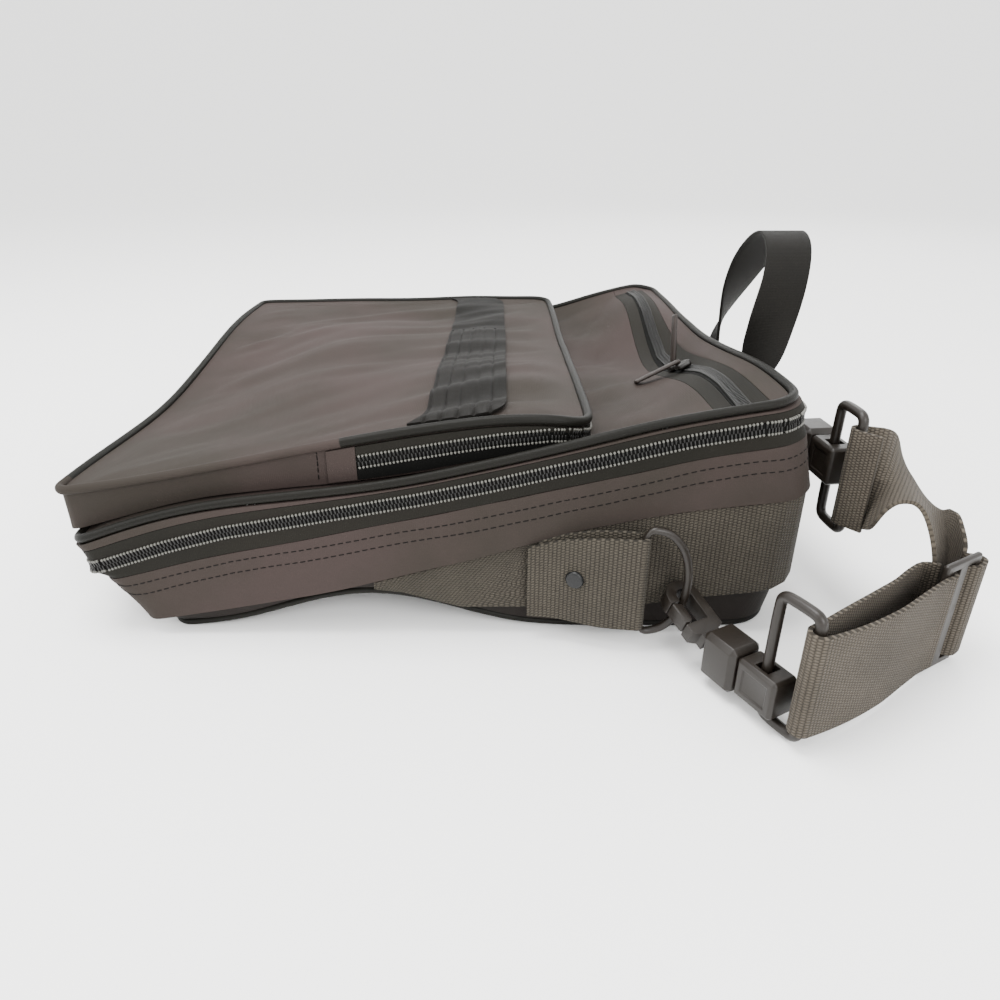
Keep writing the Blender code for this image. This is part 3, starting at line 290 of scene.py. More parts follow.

# %% [markdown]
# ### Webbing
# The belt and the strap are heavy webbing: cords lie side by side across it, and each cord shows as a row
# of small knots. The pattern follows the piece's own flat length and width, so it bends with the strap.
# Every other cord is set half a knot further, and the low gaps between cords and knots are painted dark
# as shade.


# %% Webbing
def webbing(name, light, dark, cord, knot, depth, roughness=0.82):
    """Woven webbing on a piece's flat length and width, in metres."""
    finish, tree, shader = start_finish(name, roughness, Sheen_Weight=0.02, Sheen_Roughness=0.5)
    shader.inputs["Specular IOR Level"].default_value = 0.12
    split = tree.nodes.new("ShaderNodeSeparateXYZ")
    tree.links.new(place_on(tree, "UV"), split.inputs[0])
    along = maths(tree, "DIVIDE", split.outputs["X"], cord)
    number = maths(tree, "FLOOR", along)
    offset = maths(tree, "MULTIPLY", maths(tree, "MODULO", number, 2.0), 0.5)
    across = maths(tree, "ADD", maths(tree, "DIVIDE", split.outputs["Y"], knot), offset)
    waves = []
    for value in (along, across):
        part = maths(tree, "MULTIPLY", maths(tree, "FRACT", value), math.pi)
        waves.append(maths(tree, "SINE", part))
    cord_crown, knot_crown = maths(tree, "POWER", waves[0], 0.6), maths(tree, "POWER", waves[1], 0.7)
    crown = maths(tree, "MULTIPLY", cord_crown, knot_crown)
    fuzz = speckle(tree, place_on(tree, "Object"), 900.0, 3.0)
    fade = spread(tree, speckle(tree, place_on(tree, "Object"), 38.0, 4.0), 0.35, 0.68)
    height = maths(tree, "ADD", crown, maths(tree, "MULTIPLY", fuzz, 0.45))
    # The colour follows the weave's height: the low gaps between cords and knots get the dark colour as
    # painted shade.
    share = maths(tree, "MULTIPLY", maths(tree, "ADD", crown, maths(tree, "MULTIPLY", fuzz, 0.60)), 0.72)
    worn = blend_colours(tree, fade, light, tuple(0.78 * part for part in light))
    tree.links.new(blend_colours(tree, share, dark, worn), shader.inputs["Base Color"])
    relief(tree, shader, height, depth)
    return finish


belt_web = webbing(
    "belt_web", (0.060, 0.052, 0.040), (0.0040, 0.0034, 0.0026),
    cord=0.0021, knot=0.0015, depth=0.0005,
)
strap_web = webbing(
    "strap_web", (0.086, 0.073, 0.057), (0.0070, 0.0058, 0.0045),
    cord=0.0019, knot=0.0014, depth=0.0004,
)
handle_web = webbing(
    "handle_web", (0.0062, 0.0053, 0.0038), (0.0016, 0.0014, 0.0011),
    cord=0.0009, knot=0.0008, depth=0.00015, roughness=0.72,
)
print("webbings: 3")

# %% [markdown]
# ### Moulded plastic, teeth, leather and metal
# The rings and hooks are warm dark grey plastic with a faint orange-peel skin and lighter scuffs. The
# zipper teeth shine a little, and on the bag's and the pocket's zippers their rounded ends are painted
# pale as a highlight. The pullers are worn brown leather.


# %% Hard finishes
def moulded(name, colour, scuffed, roughness, peel, metallic=0.0):
    """A hard skin with a faint peel and scuffs."""
    finish, tree, shader = start_finish(name, roughness, Metallic=metallic)
    shader.inputs["Specular IOR Level"].default_value = 0.30
    place = place_on(tree, "Object")
    scuffs = spread(tree, speckle(tree, place, 130.0, 6.0, 0.7), 0.56, 0.76)
    fine = speckle(tree, place, 1400.0, 2.0)
    skin = blend_colours(tree, maths(tree, "MULTIPLY", scuffs, 0.6), colour, scuffed)
    tree.links.new(skin, shader.inputs["Base Color"])
    rough = maths(tree, "ADD", maths(tree, "MULTIPLY", scuffs, 0.15), roughness)
    tree.links.new(rough, shader.inputs["Roughness"])
    relief(tree, shader, fine, peel, 0.5)
    return finish


grey_plastic = moulded("grey_plastic", (0.0100, 0.0076, 0.0056), (0.020, 0.016, 0.0125), 0.40, 0.00008)
# The pale bead colour is a painted highlight for the glint on the teeth's rounded ends.
painted_glint_bead = moulded("painted_glint_bead", (0.090, 0.088, 0.078), (0.040, 0.038, 0.033), 0.34, 0.00003)
tooth_dark = moulded("tooth_dark", (0.0060, 0.0058, 0.0050), (0.012, 0.011, 0.010), 0.40, 0.00003)
dark_metal = moulded("dark_metal", (0.010, 0.009, 0.008), (0.03, 0.028, 0.026), 0.34, 0.00004, 0.3)
rivet_paint = moulded("rivet_paint", (0.0018, 0.0020, 0.0023), (0.006, 0.006, 0.006), 0.42, 0.00006)
puller_leather = moulded("puller_leather", (0.013, 0.0082, 0.0060), (0.040, 0.028, 0.023), 0.50, 0.0002)
thread = nylon("thread", (0.0040, 0.0030, 0.0026), (0.0030, 0.0026, 0.0022), 0.70)
print("hard finishes and thread: 7")

# %% [markdown]
# ## Lines read from the solids
# Stitches and zipper teeth have to follow the same lines round the bag as the solids do, so those lines
# are read from the solids' own points. Points that face outwards and stand above each other give one
# middle point. The middle points are then put in order by their direction from the middle of the bag.


# %% Middle lines
def outer_points(node):
    """A solid's merged points, each with the direction that it faces."""
    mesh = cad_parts[node].data
    found = {}
    for face in mesh.polygons:
        for index in face.vertices:
            place = mesh.vertices[index].co
            key = tuple(round(value, 5) for value in place)
            found.setdefault(key, [place.copy(), Vector()])[1] += face.normal * face.area
    return [(place, facing.normalized()) for place, facing in found.values()]


def line_round(node):
    """The middle of a standing band's outer face, in order round its centre."""
    low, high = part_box(node)
    centre = (Vector(low) + Vector(high)) / 2
    columns = {}
    for place, facing in outer_points(node):
        outward = Vector((place.x - centre.x, place.y - centre.y, 0.0))
        if facing.dot(outward) > 0.0:
            columns.setdefault((round(place.x, 4), round(place.y, 4)), []).append(place)
    middles = [sum(places, Vector()) / len(places) for places in columns.values()]
    return sorted(middles, key=lambda p: math.atan2(p.y - centre.y, p.x - centre.x))


def line_across(node):
    """The middle of a lying band's upper face, from the near side to the far side."""
    rows = {}
    for place, facing in outer_points(node):
        if facing.z > 0.0:
            rows.setdefault(round(place.y, 4), []).append(place)
    return [sum(rows[y], Vector()) / len(rows[y]) for y in sorted(rows)]


def evenly(points, spacing, closed):
    """Points at an even spacing along a line."""
    line = np.array([tuple(p) for p in points] + ([tuple(points[0])] if closed else []))
    lengths = np.concatenate([[0.0], np.cumsum(np.linalg.norm(np.diff(line, axis=0), axis=1))])
    count = max(2, round(lengths[-1] / spacing))
    places = np.linspace(0.0, lengths[-1], count + 1)[:count if closed else count + 1]
    columns = [np.interp(places, lengths, line[:, axis]) for axis in range(3)]
    return [Vector(point) for point in zip(*columns)]


main_line, pocket_line = line_round("main_zip_coil"), line_round("pocket_zip_coil")
top_line = line_across("top_zip_coil")
print("points on the zippers' lines:", len(main_line), len(pocket_line), len(top_line))

# %% [markdown]
# ## How slack cloth moves
# Real cloth is never even. One smooth field says how far it lies from the even shape at every place in
# space. All soft pieces, their seams and their teeth move with the same field, so nothing that touches
# comes apart.


# %% The slack field
SLACK = 0.0016
SLACK_PER_METRE = (13.0, 13.0, 20.0)
SLACK_STARTS = 0.012
SLACK_RISES_OVER = 0.03


def slack(point):
    """How far the cloth at a place lies from the even shape."""
    wide = point * Vector(SLACK_PER_METRE)
    side = noise.noise(wide + Vector((3.1, 7.7, 1.3)))
    rise = noise.noise(wide + Vector((11.9, 2.3, 5.1)))
    share = min(max((point.z - SLACK_STARTS) / SLACK_RISES_OVER, 0.0), 1.0)
    return Vector((0.4 * side, 0.7 * side, rise)) * SLACK * share


def loosen(piece, extra=None):
    """Move a piece's points with the slack field, and with a wrinkle function of its own."""
    for vertex in piece.data.vertices:
        place = vertex.co.copy()
        vertex.co = place + slack(place) + (extra(place) if extra else Vector())
    piece.data.update()


# %% [markdown]
# ## Making fine cloth from a plain solid
# A sheet of the frame has a few long faces. A copy of it is merged, its triangles are paired into four-
# sided faces, its rims are creased so that they stay put, and a Subdivision Surface then rounds it. That
# keeps each piece exactly where its neighbours expect it and gives enough points to carry wrinkles.


# %% Fine copies
def fine_copy(node, name, level, crease=50.0):
    """A merged and finely divided copy of a solid."""
    piece = bpy.data.objects.new(name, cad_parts[node].data.copy())
    bpy.context.scene.collection.objects.link(piece)
    pick(piece)
    bpy.ops.mesh.customdata_custom_splitnormals_clear()
    bpy.ops.object.mode_set(mode="EDIT")
    bpy.ops.mesh.select_mode(type="EDGE")
    bpy.ops.mesh.select_all(action="SELECT")
    bpy.ops.mesh.remove_doubles(threshold=0.00002)
    bpy.ops.mesh.tris_convert_to_quads(
        face_threshold=math.radians(70.0), shape_threshold=math.radians(180.0)
    )
    bpy.ops.mesh.select_all(action="DESELECT")
    if crease:
        bpy.ops.mesh.edges_select_sharp(sharpness=math.radians(crease))
        bpy.ops.transform.edge_crease(value=1.0)
    bpy.ops.object.mode_set(mode="OBJECT")
    if level:
        finer = piece.modifiers.new("finer", "SUBSURF")
        finer.levels = finer.render_levels = level
        apply_all(piece)
    return piece


def wall_wrinkles(amount, along, up):
    """Wrinkles for a standing wall, which push it in and out."""
    def move(place):
        one_way, other_way = (place.x + place.y) * along, (place.x - place.y) * along
        ripple = noise.noise(Vector((one_way, other_way, place.z * up)))
        inward = Vector((place.x * 1.15, place.y, 0.0)).normalized()
        return inward * ripple * amount
    return move


# %% [markdown]
# ## The body's walls
# The rear gusset and back panel are mostly hidden, and they get a darker copy of the nylon as painted
# shade. The strip of nylon above them is the widest wall that shows. It stands a little proud of the
# webbing, and its lower edge ripples where the seam pulls it.

# %% Back and gussets
back = fine_copy("back_panel", "back_cloth", 2)
loosen(back)
finish_piece(back, painted_shade_nylon, ["back_panel"])
rear = fine_copy("rear_gusset", "rear_gusset_cloth", 3)
loosen(rear)
finish_piece(rear, painted_shade_nylon, ["rear_gusset"])
strip = fine_copy("front_gusset", "front_gusset_cloth", 4)
loosen(strip, wall_wrinkles(amount=0.0008, along=30.0, up=40.0))
finish_piece(strip, taupe_nylon, ["front_gusset"])

# %% Zipper tapes and rim
for node, name, finish, slot in (
    ("lower_zip_tape", "zip_tape_under_teeth", tape_cloth, "tape"),
    # The tape under the teeth is near-black, as painted shade in the gaps between them.
    ("main_zip_coil", "zip_slit_tape", painted_shade_tape, "coil"),
    ("upper_zip_tape", "zip_tape_over_teeth", tape_cloth, "tape"),
    ("front_rim", "rim_cloth", taupe_nylon, "nylon"),
):
    band = fine_copy(node, name, 3)
    loosen(band)
    finish_piece(band, finish, [node])

# %% [markdown]
# ## Piping
# A cord covered with smooth cloth is sewn into the edges of the front, the pocket and the back. The
# solids are eight-sided tubes, so their fine copies are already round. Dividing makes a tube thinner, so
# two of the cords are made a little fuller and no gap shows beside the cloth. Along the pocket's near
# left edge the nylon is turned over the cord, so those faces get the nylon finish.

# %% Piping
TURNED_LEFT_OF = -0.04
TURNED_NEARER_THAN = -0.17
for node, name, fuller in (
    ("back_piping", "back_cord", 0.0),
    ("front_piping", "front_cord", 0.0004),
    ("pocket_piping", "pocket_cord", 0.0005),
):
    cord = fine_copy(node, name, 2, 0.0)
    bpy.ops.object.mode_set(mode="EDIT")
    bpy.ops.mesh.select_all(action="SELECT")
    bpy.ops.transform.shrink_fatten(value=fuller)
    bpy.ops.object.mode_set(mode="OBJECT")
    loosen(cord)
    finish_piece(cord, trim_cloth, [node])
    if node == "pocket_piping":
        cord.data.materials.append(taupe_nylon)
        for face in cord.data.polygons:
            turned = face.center.x < TURNED_LEFT_OF and face.center.y < TURNED_NEARER_THAN
            face.material_index = int(turned)

# %% [markdown]
# ## The front
# The front cloth sags between the pocket and the top end and stands up in a ridge at the far side. Its
# wrinkles run from the pocket's corner to the zipper, and they fade out at the seams so that the edges
# still meet.


# %% Wrinkles for cloth that lies flat
SEAM_FADE = 0.018
CREASE_SHARE = 0.55
CREASE_WIDTH = 0.16


def lying_wrinkles(amount, turn, short, long, edges):
    """Long soft wrinkles along one direction, which fade out near a box of edges."""
    low_x, high_x, low_y, high_y = edges
    cos, sin = math.cos(math.radians(turn)), math.sin(math.radians(turn))

    def move(place):
        along, across = place.x * cos + place.y * sin, place.y * cos - place.x * sin
        ripple = noise.noise(Vector((along * long, across * short, 0.5)))
        ripple += 0.4 * noise.noise(Vector((along * long * 2.2, across * short * 2.1, 4.5)))
        fold = noise.noise(Vector((along * long * 0.6, across * short * 0.45, 8.5)))
        ripple += CREASE_SHARE * math.exp(-(fold / CREASE_WIDTH) ** 2)
        margin = min(place.x - low_x, high_x - place.x, place.y - low_y, high_y - place.y)
        return Vector((0.0, 0.0, amount * ripple * min(max(margin / SEAM_FADE, 0.0), 1.0)))
    return move


FRONT_EDGES = (-0.17, 0.125, -0.187, 0.187)
front_folds = lying_wrinkles(amount=0.0030, turn=35.0, short=42.0, long=14.0, edges=FRONT_EDGES)
for node, name in (
    ("front_panel", "front_cloth"),
    ("top_flap", "top_flap_cloth"),
    ("top_corner_near", "corner_cloth_near"),
    ("top_corner_far", "corner_cloth_far"),
):
    cloth = fine_copy(node, name, 3)
    loosen(cloth, front_folds if node == "front_panel" else None)
    finish_piece(cloth, taupe_nylon, [node])
for node, name, finish, slot in (
    ("top_zip_tape_lower", "top_tape_low", tape_cloth, "tape"),
    # The tape under the teeth is near-black, as painted shade in the gaps between them.
    ("top_zip_coil", "top_slit_tape", painted_shade_tape, "coil"),
    ("top_zip_tape_upper", "top_tape_high", tape_cloth, "tape"),
):
    band = fine_copy(node, name, 3)
    loosen(band)
    finish_piece(band, finish, [node])

# %% [markdown]
# ## The box pocket
# The pocket's cloth has long shallow wrinkles from its near left corner to its far side, and it dips
# behind the near seam. Its walls are nylon, with a wide woven tape over the zipper.

# %% Pocket cloth
POCKET_EDGES = (-0.172, 0.069, -0.183, 0.183)
pocket_folds = lying_wrinkles(amount=0.0032, turn=20.0, short=36.0, long=9.0, edges=POCKET_EDGES)
pocket_cloth = fine_copy("pocket_panel", "pocket_cloth", 3)
loosen(pocket_cloth, pocket_folds)
finish_piece(pocket_cloth, taupe_nylon, ["pocket_panel"])
pocket_wall = fine_copy("pocket_gusset", "pocket_wall_cloth", 3)
loosen(pocket_wall, wall_wrinkles(amount=0.0007, along=26.0, up=50.0))
finish_piece(pocket_wall, taupe_nylon, ["pocket_gusset"])
for node, name, finish, slot in (
    # The lower tape and the tape under the teeth are near-black, as painted shade below the pocket's
    # zipper.
    ("pocket_zip_tape_lower", "pocket_tape_low", painted_shade_tape, "tape"),
    ("pocket_zip_coil", "pocket_slit_tape", painted_shade_tape, "coil"),
    ("pocket_zip_tape_upper", "pocket_tape_high", tape_cloth, "tape"),
    ("pocket_end_tab_near", "end_tab_near", taupe_nylon, "nylon"),
    ("pocket_end_tab_far", "end_tab_far", taupe_nylon, "nylon"),
):
    band = fine_copy(node, name, 3)
    loosen(band)
    finish_piece(band, finish, [node])

# %% [markdown]
# ### The dark band across the pocket
# The band has sewn channels along its length on the near part and is plain at the far end. The channels
# are pressed into the fine copy: a point drops where it lies near one of the sewn lines.

# %% Ribbed band
CHANNELS = 6
CHANNEL_DEPTH = 0.0010
CHANNEL_WIDTH = 0.10
CHANNEL_MARGIN = 0.4
BAND_LIFT = 0.0004
low_corner, high_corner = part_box("ribbed_band")


def channels(place):
    """How deep the sewn lines press into the band."""
    share = (place.x - low_corner.x) / (high_corner.x - low_corner.x) * CHANNELS
    near_line = abs(share - round(share))
    sewn = CHANNEL_MARGIN < share < CHANNELS - CHANNEL_MARGIN
    pressed = math.exp(-(near_line / CHANNEL_WIDTH) ** 2) if sewn else 0.0
    return Vector((0.0, 0.0, -CHANNEL_DEPTH * pressed + BAND_LIFT))


for node, name, extra in (
    ("ribbed_band", "ribbed_cloth", channels),
    ("plain_band", "plain_band_cloth", None),
):
    band = fine_copy(node, name, 4)
    loosen(band, lambda place: pocket_folds(place) + (extra(place) if extra else Vector()))
    finish_piece(band, band_cloth, [node])

# %% [markdown]
# ## Rows of small things
# Stitches and zipper teeth are hundreds of copies of one small shape. The shape is modelled once. Then
# each copy gets a place and a direction on the cloth below it, and all copies of one row are joined in
# one mesh.


# %% Rows of copies
REACH = 0.006


def on_cloth(cloth, places, standing):
    """The places on a cloth nearest to a line, seen from its outer side, with the way out of it."""
    found = []
    for k, place in enumerate(places):
        way = places[min(k + 1, len(places) - 1)] - places[max(k - 1, 0)]
        outward = Vector((way.y, -way.x, 0.0)).normalized() if standing else Vector((0.0, 0.0, 1.0))
        spot, out = cloth.closest_point_on_mesh(place + slack(place) + outward * REACH)[1:3]
        found.append((spot, out))
    return found


def frames_along(spots, closed, lift=0.0):
    """A frame at each spot: X along the row, Y across it and Z out of the cloth."""
    frames = []
    count = len(spots)
    for k, (spot, out) in enumerate(spots):
        before = spots[k - 1][0] if closed or k else spot
        after = spots[(k + 1) % count][0] if closed or k < count - 1 else spot
        along = (after - before).normalized()
        across = out.cross(along).normalized()
        up = along.cross(across)
        turn = Matrix((along, across, up)).transposed().to_4x4()
        frames.append(Matrix.Translation(spot + up * lift) @ turn)
    return frames


def row_of_copies(name, model, frames):
    """One mesh with a copy of a model at each frame."""
    points = np.array([tuple(v.co) for v in model.data.vertices])
    faces = [tuple(p.vertices) for p in model.data.polygons]
    all_points, all_faces = [], []
    for number, matrix in enumerate(frames):
        turned = points @ np.array(matrix.to_3x3()).T + np.array(matrix.translation)
        all_points.append(turned)
        all_faces += [tuple(v + number * len(points) for v in face) for face in faces]
    mesh = bpy.data.meshes.new(name)
    mesh.from_pydata(np.concatenate(all_points).tolist(), [], all_faces)
    row = bpy.data.objects.new(name, mesh)
    bpy.context.scene.collection.objects.link(row)
    return row


def small_bar(name, size, bevel):
    """A small bar with rounded edges, to copy."""
    bpy.ops.object.select_all(action="DESELECT")
    bpy.ops.mesh.primitive_cube_add(size=1.0)
    bar = bpy.context.object
    bar.name = name
    bar.scale = size
    bpy.ops.object.transform_apply(scale=True)
    bpy.ops.object.mode_set(mode="EDIT")
    bpy.ops.mesh.select_all(action="SELECT")
    bpy.ops.mesh.bevel(offset=bevel, segments=1)
    bpy.ops.object.mode_set(mode="OBJECT")
    return bar


# %% [markdown]
# ## Stitches
# Two rows of stitches run round the nylon strip, and one row holds the tab at the pocket zipper's end. A
# stitch is a short rounded bar of thread that is half sunk in the cloth.

# %% Stitch rows
STITCH_PITCH = 0.0040
STITCH_DROPS = {"stitches_high": 0.0155, "stitches_low": 0.0215}
STITCH_SIZE = (0.0027, 0.0006, 0.0005)
STITCH_BEVEL = 0.00018
stitch = small_bar("stitch_model", STITCH_SIZE, STITCH_BEVEL)
for name, drop in STITCH_DROPS.items():
    line = [place - Vector((0.0, 0.0, drop)) for place in main_line]
    spots = on_cloth(strip, evenly(line, STITCH_PITCH, True), True)
    row = row_of_copies(name, stitch, frames_along(spots, True))
    finish_piece(row, thread)

# %% Stitches at the pocket zipper's end
END_STITCHES = 5
END_STITCH_INSET = 0.005
END_STITCH_MARGIN = 0.0012
low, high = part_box("pocket_end_tab_near")
sewn_height = high.z - low.z - 2 * END_STITCH_MARGIN
spots = []
for number in range(END_STITCHES):
    up = END_STITCH_MARGIN + (number + 0.5) / END_STITCHES * sewn_height
    place = Vector((low.x - END_STITCH_INSET, low.y, low.z + up))
    outside = place + slack(place) + Vector((0.0, -REACH, 0.0))
    spots.append(tuple(pocket_wall.closest_point_on_mesh(outside)[1:3]))
finish_piece(row_of_copies("stitches_pocket_end", stitch, frames_along(spots, False)), thread)

# %% [markdown]
# ## Zipper teeth
# A coil zipper shows two rows of small loops whose outer ends catch the light. Each tooth is a dark leg
# with a bead at its outer end. On the bag's and the pocket's zippers the beads are painted pale as a
# highlight for that light, and on the top one they stay dark. The second row is set half a tooth along,
# so the inner ends mesh.


# %% Teeth
def tooth(name, size, bevel, shift, taper):
    """One part of a tooth, moved to its side of the row and thicker at its outer end."""
    made = small_bar(name, size, bevel)
    for vertex in made.data.vertices:
        share = 0.5 + math.copysign(1.0, shift) * vertex.co.y / size[1]
        vertex.co.z *= 1.0 - taper * (1.0 - share)
        vertex.co.x *= 1.0 - 0.5 * taper * (1.0 - share)
        vertex.co.y += shift
    return made


TOOTH_PITCH = 0.00185
TOOTH_LIFT = 0.0003
LEG_SIZE, LEG_BEVEL, LEG_SHIFT, LEG_TAPER = (0.00085, 0.0030, 0.0009), 0.00022, 0.0014, 0.5
BEAD_SIZE, BEAD_BEVEL, BEAD_SHIFT, BEAD_TAPER = (0.00120, 0.0013, 0.0015), 0.00036, 0.0029, 0.1
tooth_legs = [
    tooth("leg_model_high", LEG_SIZE, LEG_BEVEL, LEG_SHIFT, LEG_TAPER),
    tooth("leg_model_low", LEG_SIZE, LEG_BEVEL, -LEG_SHIFT, LEG_TAPER),
]
tooth_beads = [
    tooth("bead_model_high", BEAD_SIZE, BEAD_BEVEL, BEAD_SHIFT, BEAD_TAPER),
    tooth("bead_model_low", BEAD_SIZE, BEAD_BEVEL, -BEAD_SHIFT, BEAD_TAPER),
]


def teeth(name, cloth, line, closed, standing, bead_finish):
    """Both rows of a zipper's teeth along a line on a cloth."""
    spots = on_cloth(cloth, evenly(line, TOOTH_PITCH / 2, closed), standing)
    frames = frames_along(spots, closed, TOOTH_LIFT)
    for part, models, finish in (("legs", tooth_legs, tooth_dark), ("beads", tooth_beads, bead_finish)):
        rows = [row_of_copies(name + "_" + part, model, frames[k::2]) for k, model in enumerate(models)]
        pick(rows[0])
        rows[1].select_set(True)
        bpy.ops.object.join()
        finish_piece(rows[0], finish)


for name, cloth, line, closed, standing, bead_finish in (
    # The pale beads of the bag's and the pocket's teeth are a painted highlight.
    ("main_teeth", "zip_slit_tape", main_line, True, True, painted_glint_bead),
    ("top_teeth", "top_slit_tape", top_line, False, False, tooth_dark),
    ("pocket_teeth", "pocket_slit_tape", pocket_line, False, True, painted_glint_bead),
):
    teeth(name, bpy.data.objects[cloth], line, closed, standing, bead_finish)

# %% [markdown]
# ## Flat webbing
# Webbing is laid directly along a path. A grid is added, and each of its points is moved to its station
# on the path and to its share of the webbing's width. Its flat map is set in metres, so that the weave
# has one scale everywhere. A Solidify modifier then gives it its thickness.


# %% Laying webbing
def smooth_rows(rows, per_span):
    """A smooth curve through rows of numbers."""
    values = np.array(rows, float)
    longer = np.vstack([2 * values[0] - values[1], values, 2 * values[-1] - values[-2]])
    found = []
    for k in range(1, len(longer) - 2):
        before, start, end, after = longer[k - 1:k + 3]
        slope, bend = end - before, 2 * before - 5 * start + 4 * end - after
        twist = 3 * start - before - 3 * end + after
        for t in np.linspace(0.0, 1.0, per_span, endpoint=False):
            found.append(0.5 * (2 * start + slope * t + bend * t**2 + twist * t**3))
    return np.array(found + [values[-1]])


WEBBING_THICKNESS = 0.0019
WEBBING_EDGE = 0.0003
ACROSS = 6


def lay_webbing(name, rows):
    """Webbing through rows of a middle point and the way from it to one edge."""
    middles, halves = rows[:, :3], rows[:, 3:6]
    steps = np.linalg.norm(np.diff(middles, axis=0), axis=1)
    lengths = np.concatenate([[0.0], np.cumsum(steps)])
    bpy.ops.object.select_all(action="DESELECT")
    bpy.ops.mesh.primitive_grid_add(x_subdivisions=len(rows) - 1, y_subdivisions=ACROSS, size=1.0)
    piece = bpy.context.object
    piece.name = name
    last, flat = len(rows) - 1, {}
    for vertex in piece.data.vertices:
        row, share = round((vertex.co.x + 0.5) * last), vertex.co.y * 2.0
        flat[vertex.index] = (float(lengths[row]), float((share + 1.0) * np.linalg.norm(halves[row])))
        vertex.co = Vector(middles[row] + halves[row] * share)
    layer = piece.data.uv_layers.active
    for loop in piece.data.loops:
        layer.data[loop.index].uv = flat[loop.vertex_index]
    wall = piece.modifiers.new("thickness", "SOLIDIFY")
    wall.thickness = WEBBING_THICKNESS
    wall.offset = 0.0
    soft = piece.modifiers.new("soft_edges", "BEVEL")
    soft.width = WEBBING_EDGE
    soft.segments = 2
    soft.limit_method = "ANGLE"
    soft.angle_limit = math.radians(60.0)
    apply_all(piece)
    return piece


# %% [markdown]
# ### Reading a strap's route
# A strap's solid is a long thin box that bends, with four points at each station. The walk starts at a
# flat end, which is the only place where two triangles have sharp edges all round, and goes from each
# four points to the next four. Their middle and the way to their edge are all that the webbing needs.
# The walk has one known fault: an edge that is straight over several stations has no points there. The
# belt's lower edge is like that on the far side, so the dressed belt comes out too narrow there.


# %% The stations of a strap
def flat_end(build):
    """The four points of one end of a strap."""
    for edge in build.edges:
        faces = edge.link_faces
        if len(faces) == 2 and edge.calc_face_angle() < math.radians(2.0):
            border = [e for face in faces for e in face.edges if e is not edge]
            if all(e.calc_face_angle() > math.radians(60.0) for e in border):
                return sorted({v for face in faces for v in face.verts}, key=lambda v: v.index)


def stations(node):
    """A strap's middle points and the way from each to one edge, in rows of six numbers."""
    build = bmesh.new()
    build.from_mesh(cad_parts[node].data)
    bmesh.ops.remove_doubles(build, verts=build.verts, dist=0.00002)
    build.verts.index_update()
    ring = flat_end(build)
    seen, rows, half = set(ring), [], None
    while ring:
        first = ring[0]
        partner = min(ring[1:], key=lambda v: (v.co - first.co).length)
        others = [v for v in ring[1:] if v is not partner]
        edge, other_edge = (first.co + partner.co) / 2, (others[0].co + others[1].co) / 2
        way = (edge - other_edge) / 2
        half = -way if half and way.dot(half) < 0.0 else way
        rows.append((*((edge + other_edge) / 2), *half))
        found = {link.other_vert(v) for v in ring for link in v.link_edges} - seen
        ring = sorted(found, key=lambda v: v.index)
        seen |= found
    build.free()
    return np.array(rows)


# %% [markdown]
# ### Belt, tabs and straps
# The belt is sewn round the bag's back half. Two doubled tabs of the same webbing turn round the straight
# bars of the D rings. The shoulder strap runs doubled from its slider to the near hook, and turns edge-on
# where it climbs to the second hook. The handle is a narrower webbing that stands up by itself. The belt
# has one step for each span of its solid, because a smooth curve through its stations swung out at a
# corner.

# %% All webbing
WEBBINGS = (
    # solid, piece, finish, slot, steps for each span of the solid
    ("belt_webbing", "belt_webbing_cloth", belt_web, "webbing", 1),
    ("ring_tab_near", "near_tab_webbing", belt_web, "webbing", 4),
    ("ring_tab_top", "top_tab_webbing", belt_web, "webbing", 4),
    ("shoulder_strap", "strap_webbing", strap_web, "webbing", 3),
    ("carry_handle", "handle_webbing", handle_web, "handle", 4),
)
for node, name, finish, slot, per_span in WEBBINGS:
    laid = lay_webbing(name, smooth_rows(stations(node), per_span))
    if node == "belt_webbing":
        loosen(laid)
    finish_piece(laid, finish, [node])

# %% [markdown]
# ## Rings, hooks and other fittings
# The rings are round bars and the hooks are moulded parts with softened edges. Fine copies of the ring
# tubes are round. The flat and boxy parts get small rounded edges from a Bevel modifier instead, because
# their broad faces have to stay flat. A moulded hook's body isn't solid, so shallow panels are sunk into
# its widest faces.


# %% Fittings
BROAD_FACE = 0.0003
ROUNDED_FROM = 32.0
PANEL_RIM = 0.0026
PANEL_WALL = 0.0003


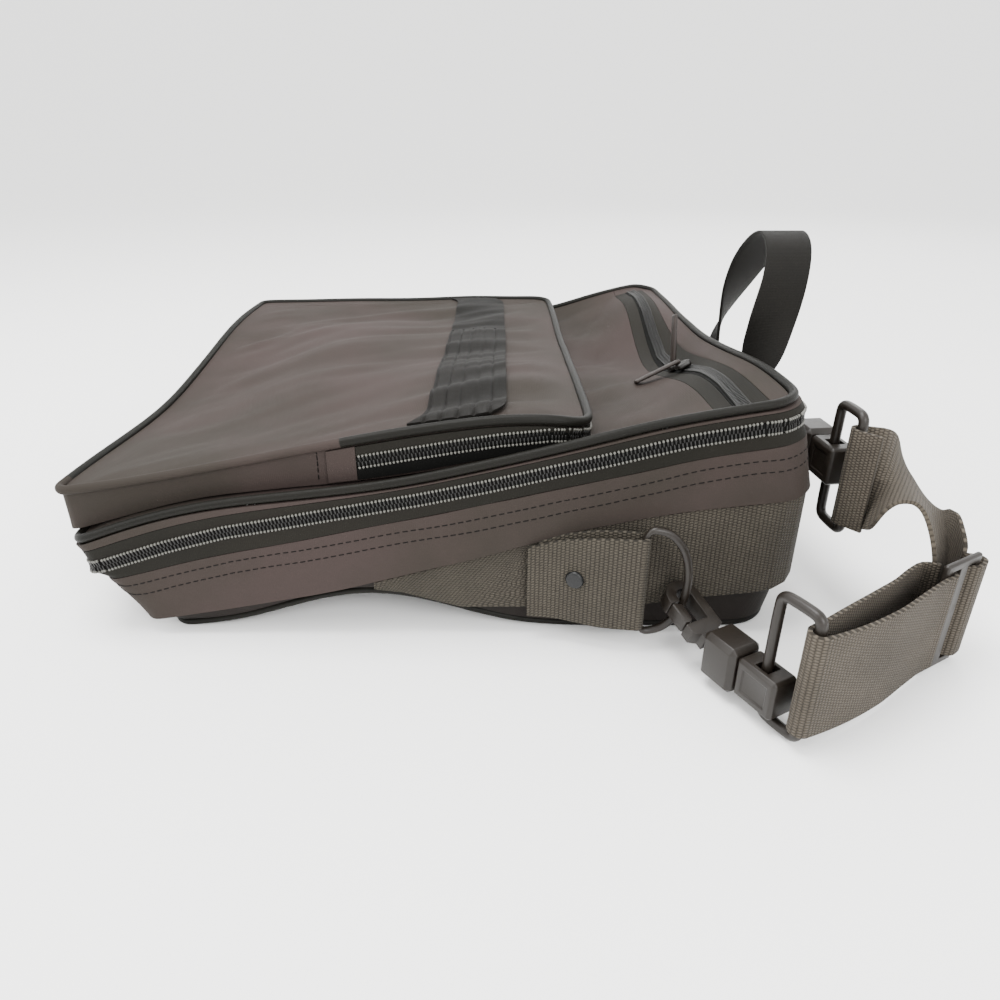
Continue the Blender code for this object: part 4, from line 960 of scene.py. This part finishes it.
def softened(node, name, width, panel=0.0):
    """A merged copy of a hard solid with rounded edges, and with panels sunk into its broad faces."""
    piece = fine_copy(node, name, 0, 0.0)
    if panel:
        bpy.ops.object.mode_set(mode="EDIT")
        bpy.ops.mesh.select_mode(type="FACE")
        bpy.ops.mesh.select_all(action="DESELECT")
        bpy.ops.object.mode_set(mode="OBJECT")
        for face in piece.data.polygons:
            face.select = face.area > BROAD_FACE
        bpy.ops.object.mode_set(mode="EDIT")
        bpy.ops.mesh.inset(use_individual=True, thickness=PANEL_RIM, depth=0.0)
        bpy.ops.mesh.inset(use_individual=True, thickness=PANEL_WALL, depth=-panel)
        bpy.ops.object.mode_set(mode="OBJECT")
    edge = piece.modifiers.new("rounded", "BEVEL")
    edge.width = width
    edge.segments = 3
    edge.limit_method = "ANGLE"
    edge.angle_limit = math.radians(ROUNDED_FROM)
    apply_all(piece)
    return piece


SOFTENED = (
    # solid, width of its rounded edges, depth of its panels
    ("clip_hook_", 0.0009, 0.0),
    ("clip_collar_", 0.0004, 0.0007),
    ("clip_tongue_", 0.0004, 0.0007),
)
SMALL_EDGE = 0.0005
SLIDER_EDGE = 0.0007
for side in ("near", "top"):
    for node in ("d_ring_" + side, "clip_loop_" + side):
        finish_piece(fine_copy(node, node + "_bar", 2, 0.0), grey_plastic, [node])
    for node, width, panel in SOFTENED:
        part = softened(node + side, node + side + "_part", width, panel)
        finish_piece(part, grey_plastic, [node + side])
    gate, rivet = "clip_gate_" + side, "tab_rivet_" + side
    part = softened(gate, gate + "_part", SMALL_EDGE)
    finish_piece(part, grey_plastic, [gate], body="gate_" + side)
    finish_piece(softened(rivet, "rivet_" + side, SMALL_EDGE), rivet_paint, [rivet])
slider = softened("strap_slider", "strap_slider_part", SLIDER_EDGE)
finish_piece(slider, grey_plastic, ["strap_slider"])
TINY_EDGE = 0.0004
for node, finish, slot in (
    ("top_zip_slider_1", dark_metal, "slider"),
    ("top_zip_slider_2", dark_metal, "slider"),
    ("puller_lying", puller_leather, "leather"),
    ("puller_standing", puller_leather, "leather"),
):
    finish_piece(softened(node, node + "_part", TINY_EDGE), finish, [node])

# %% [markdown]
# ## Tidy up
# The models of the stitch and the teeth were only patterns to copy, so they go.

# %% Remove the patterns
for pattern in (stitch, *tooth_legs, *tooth_beads):
    bpy.data.objects.remove(pattern)
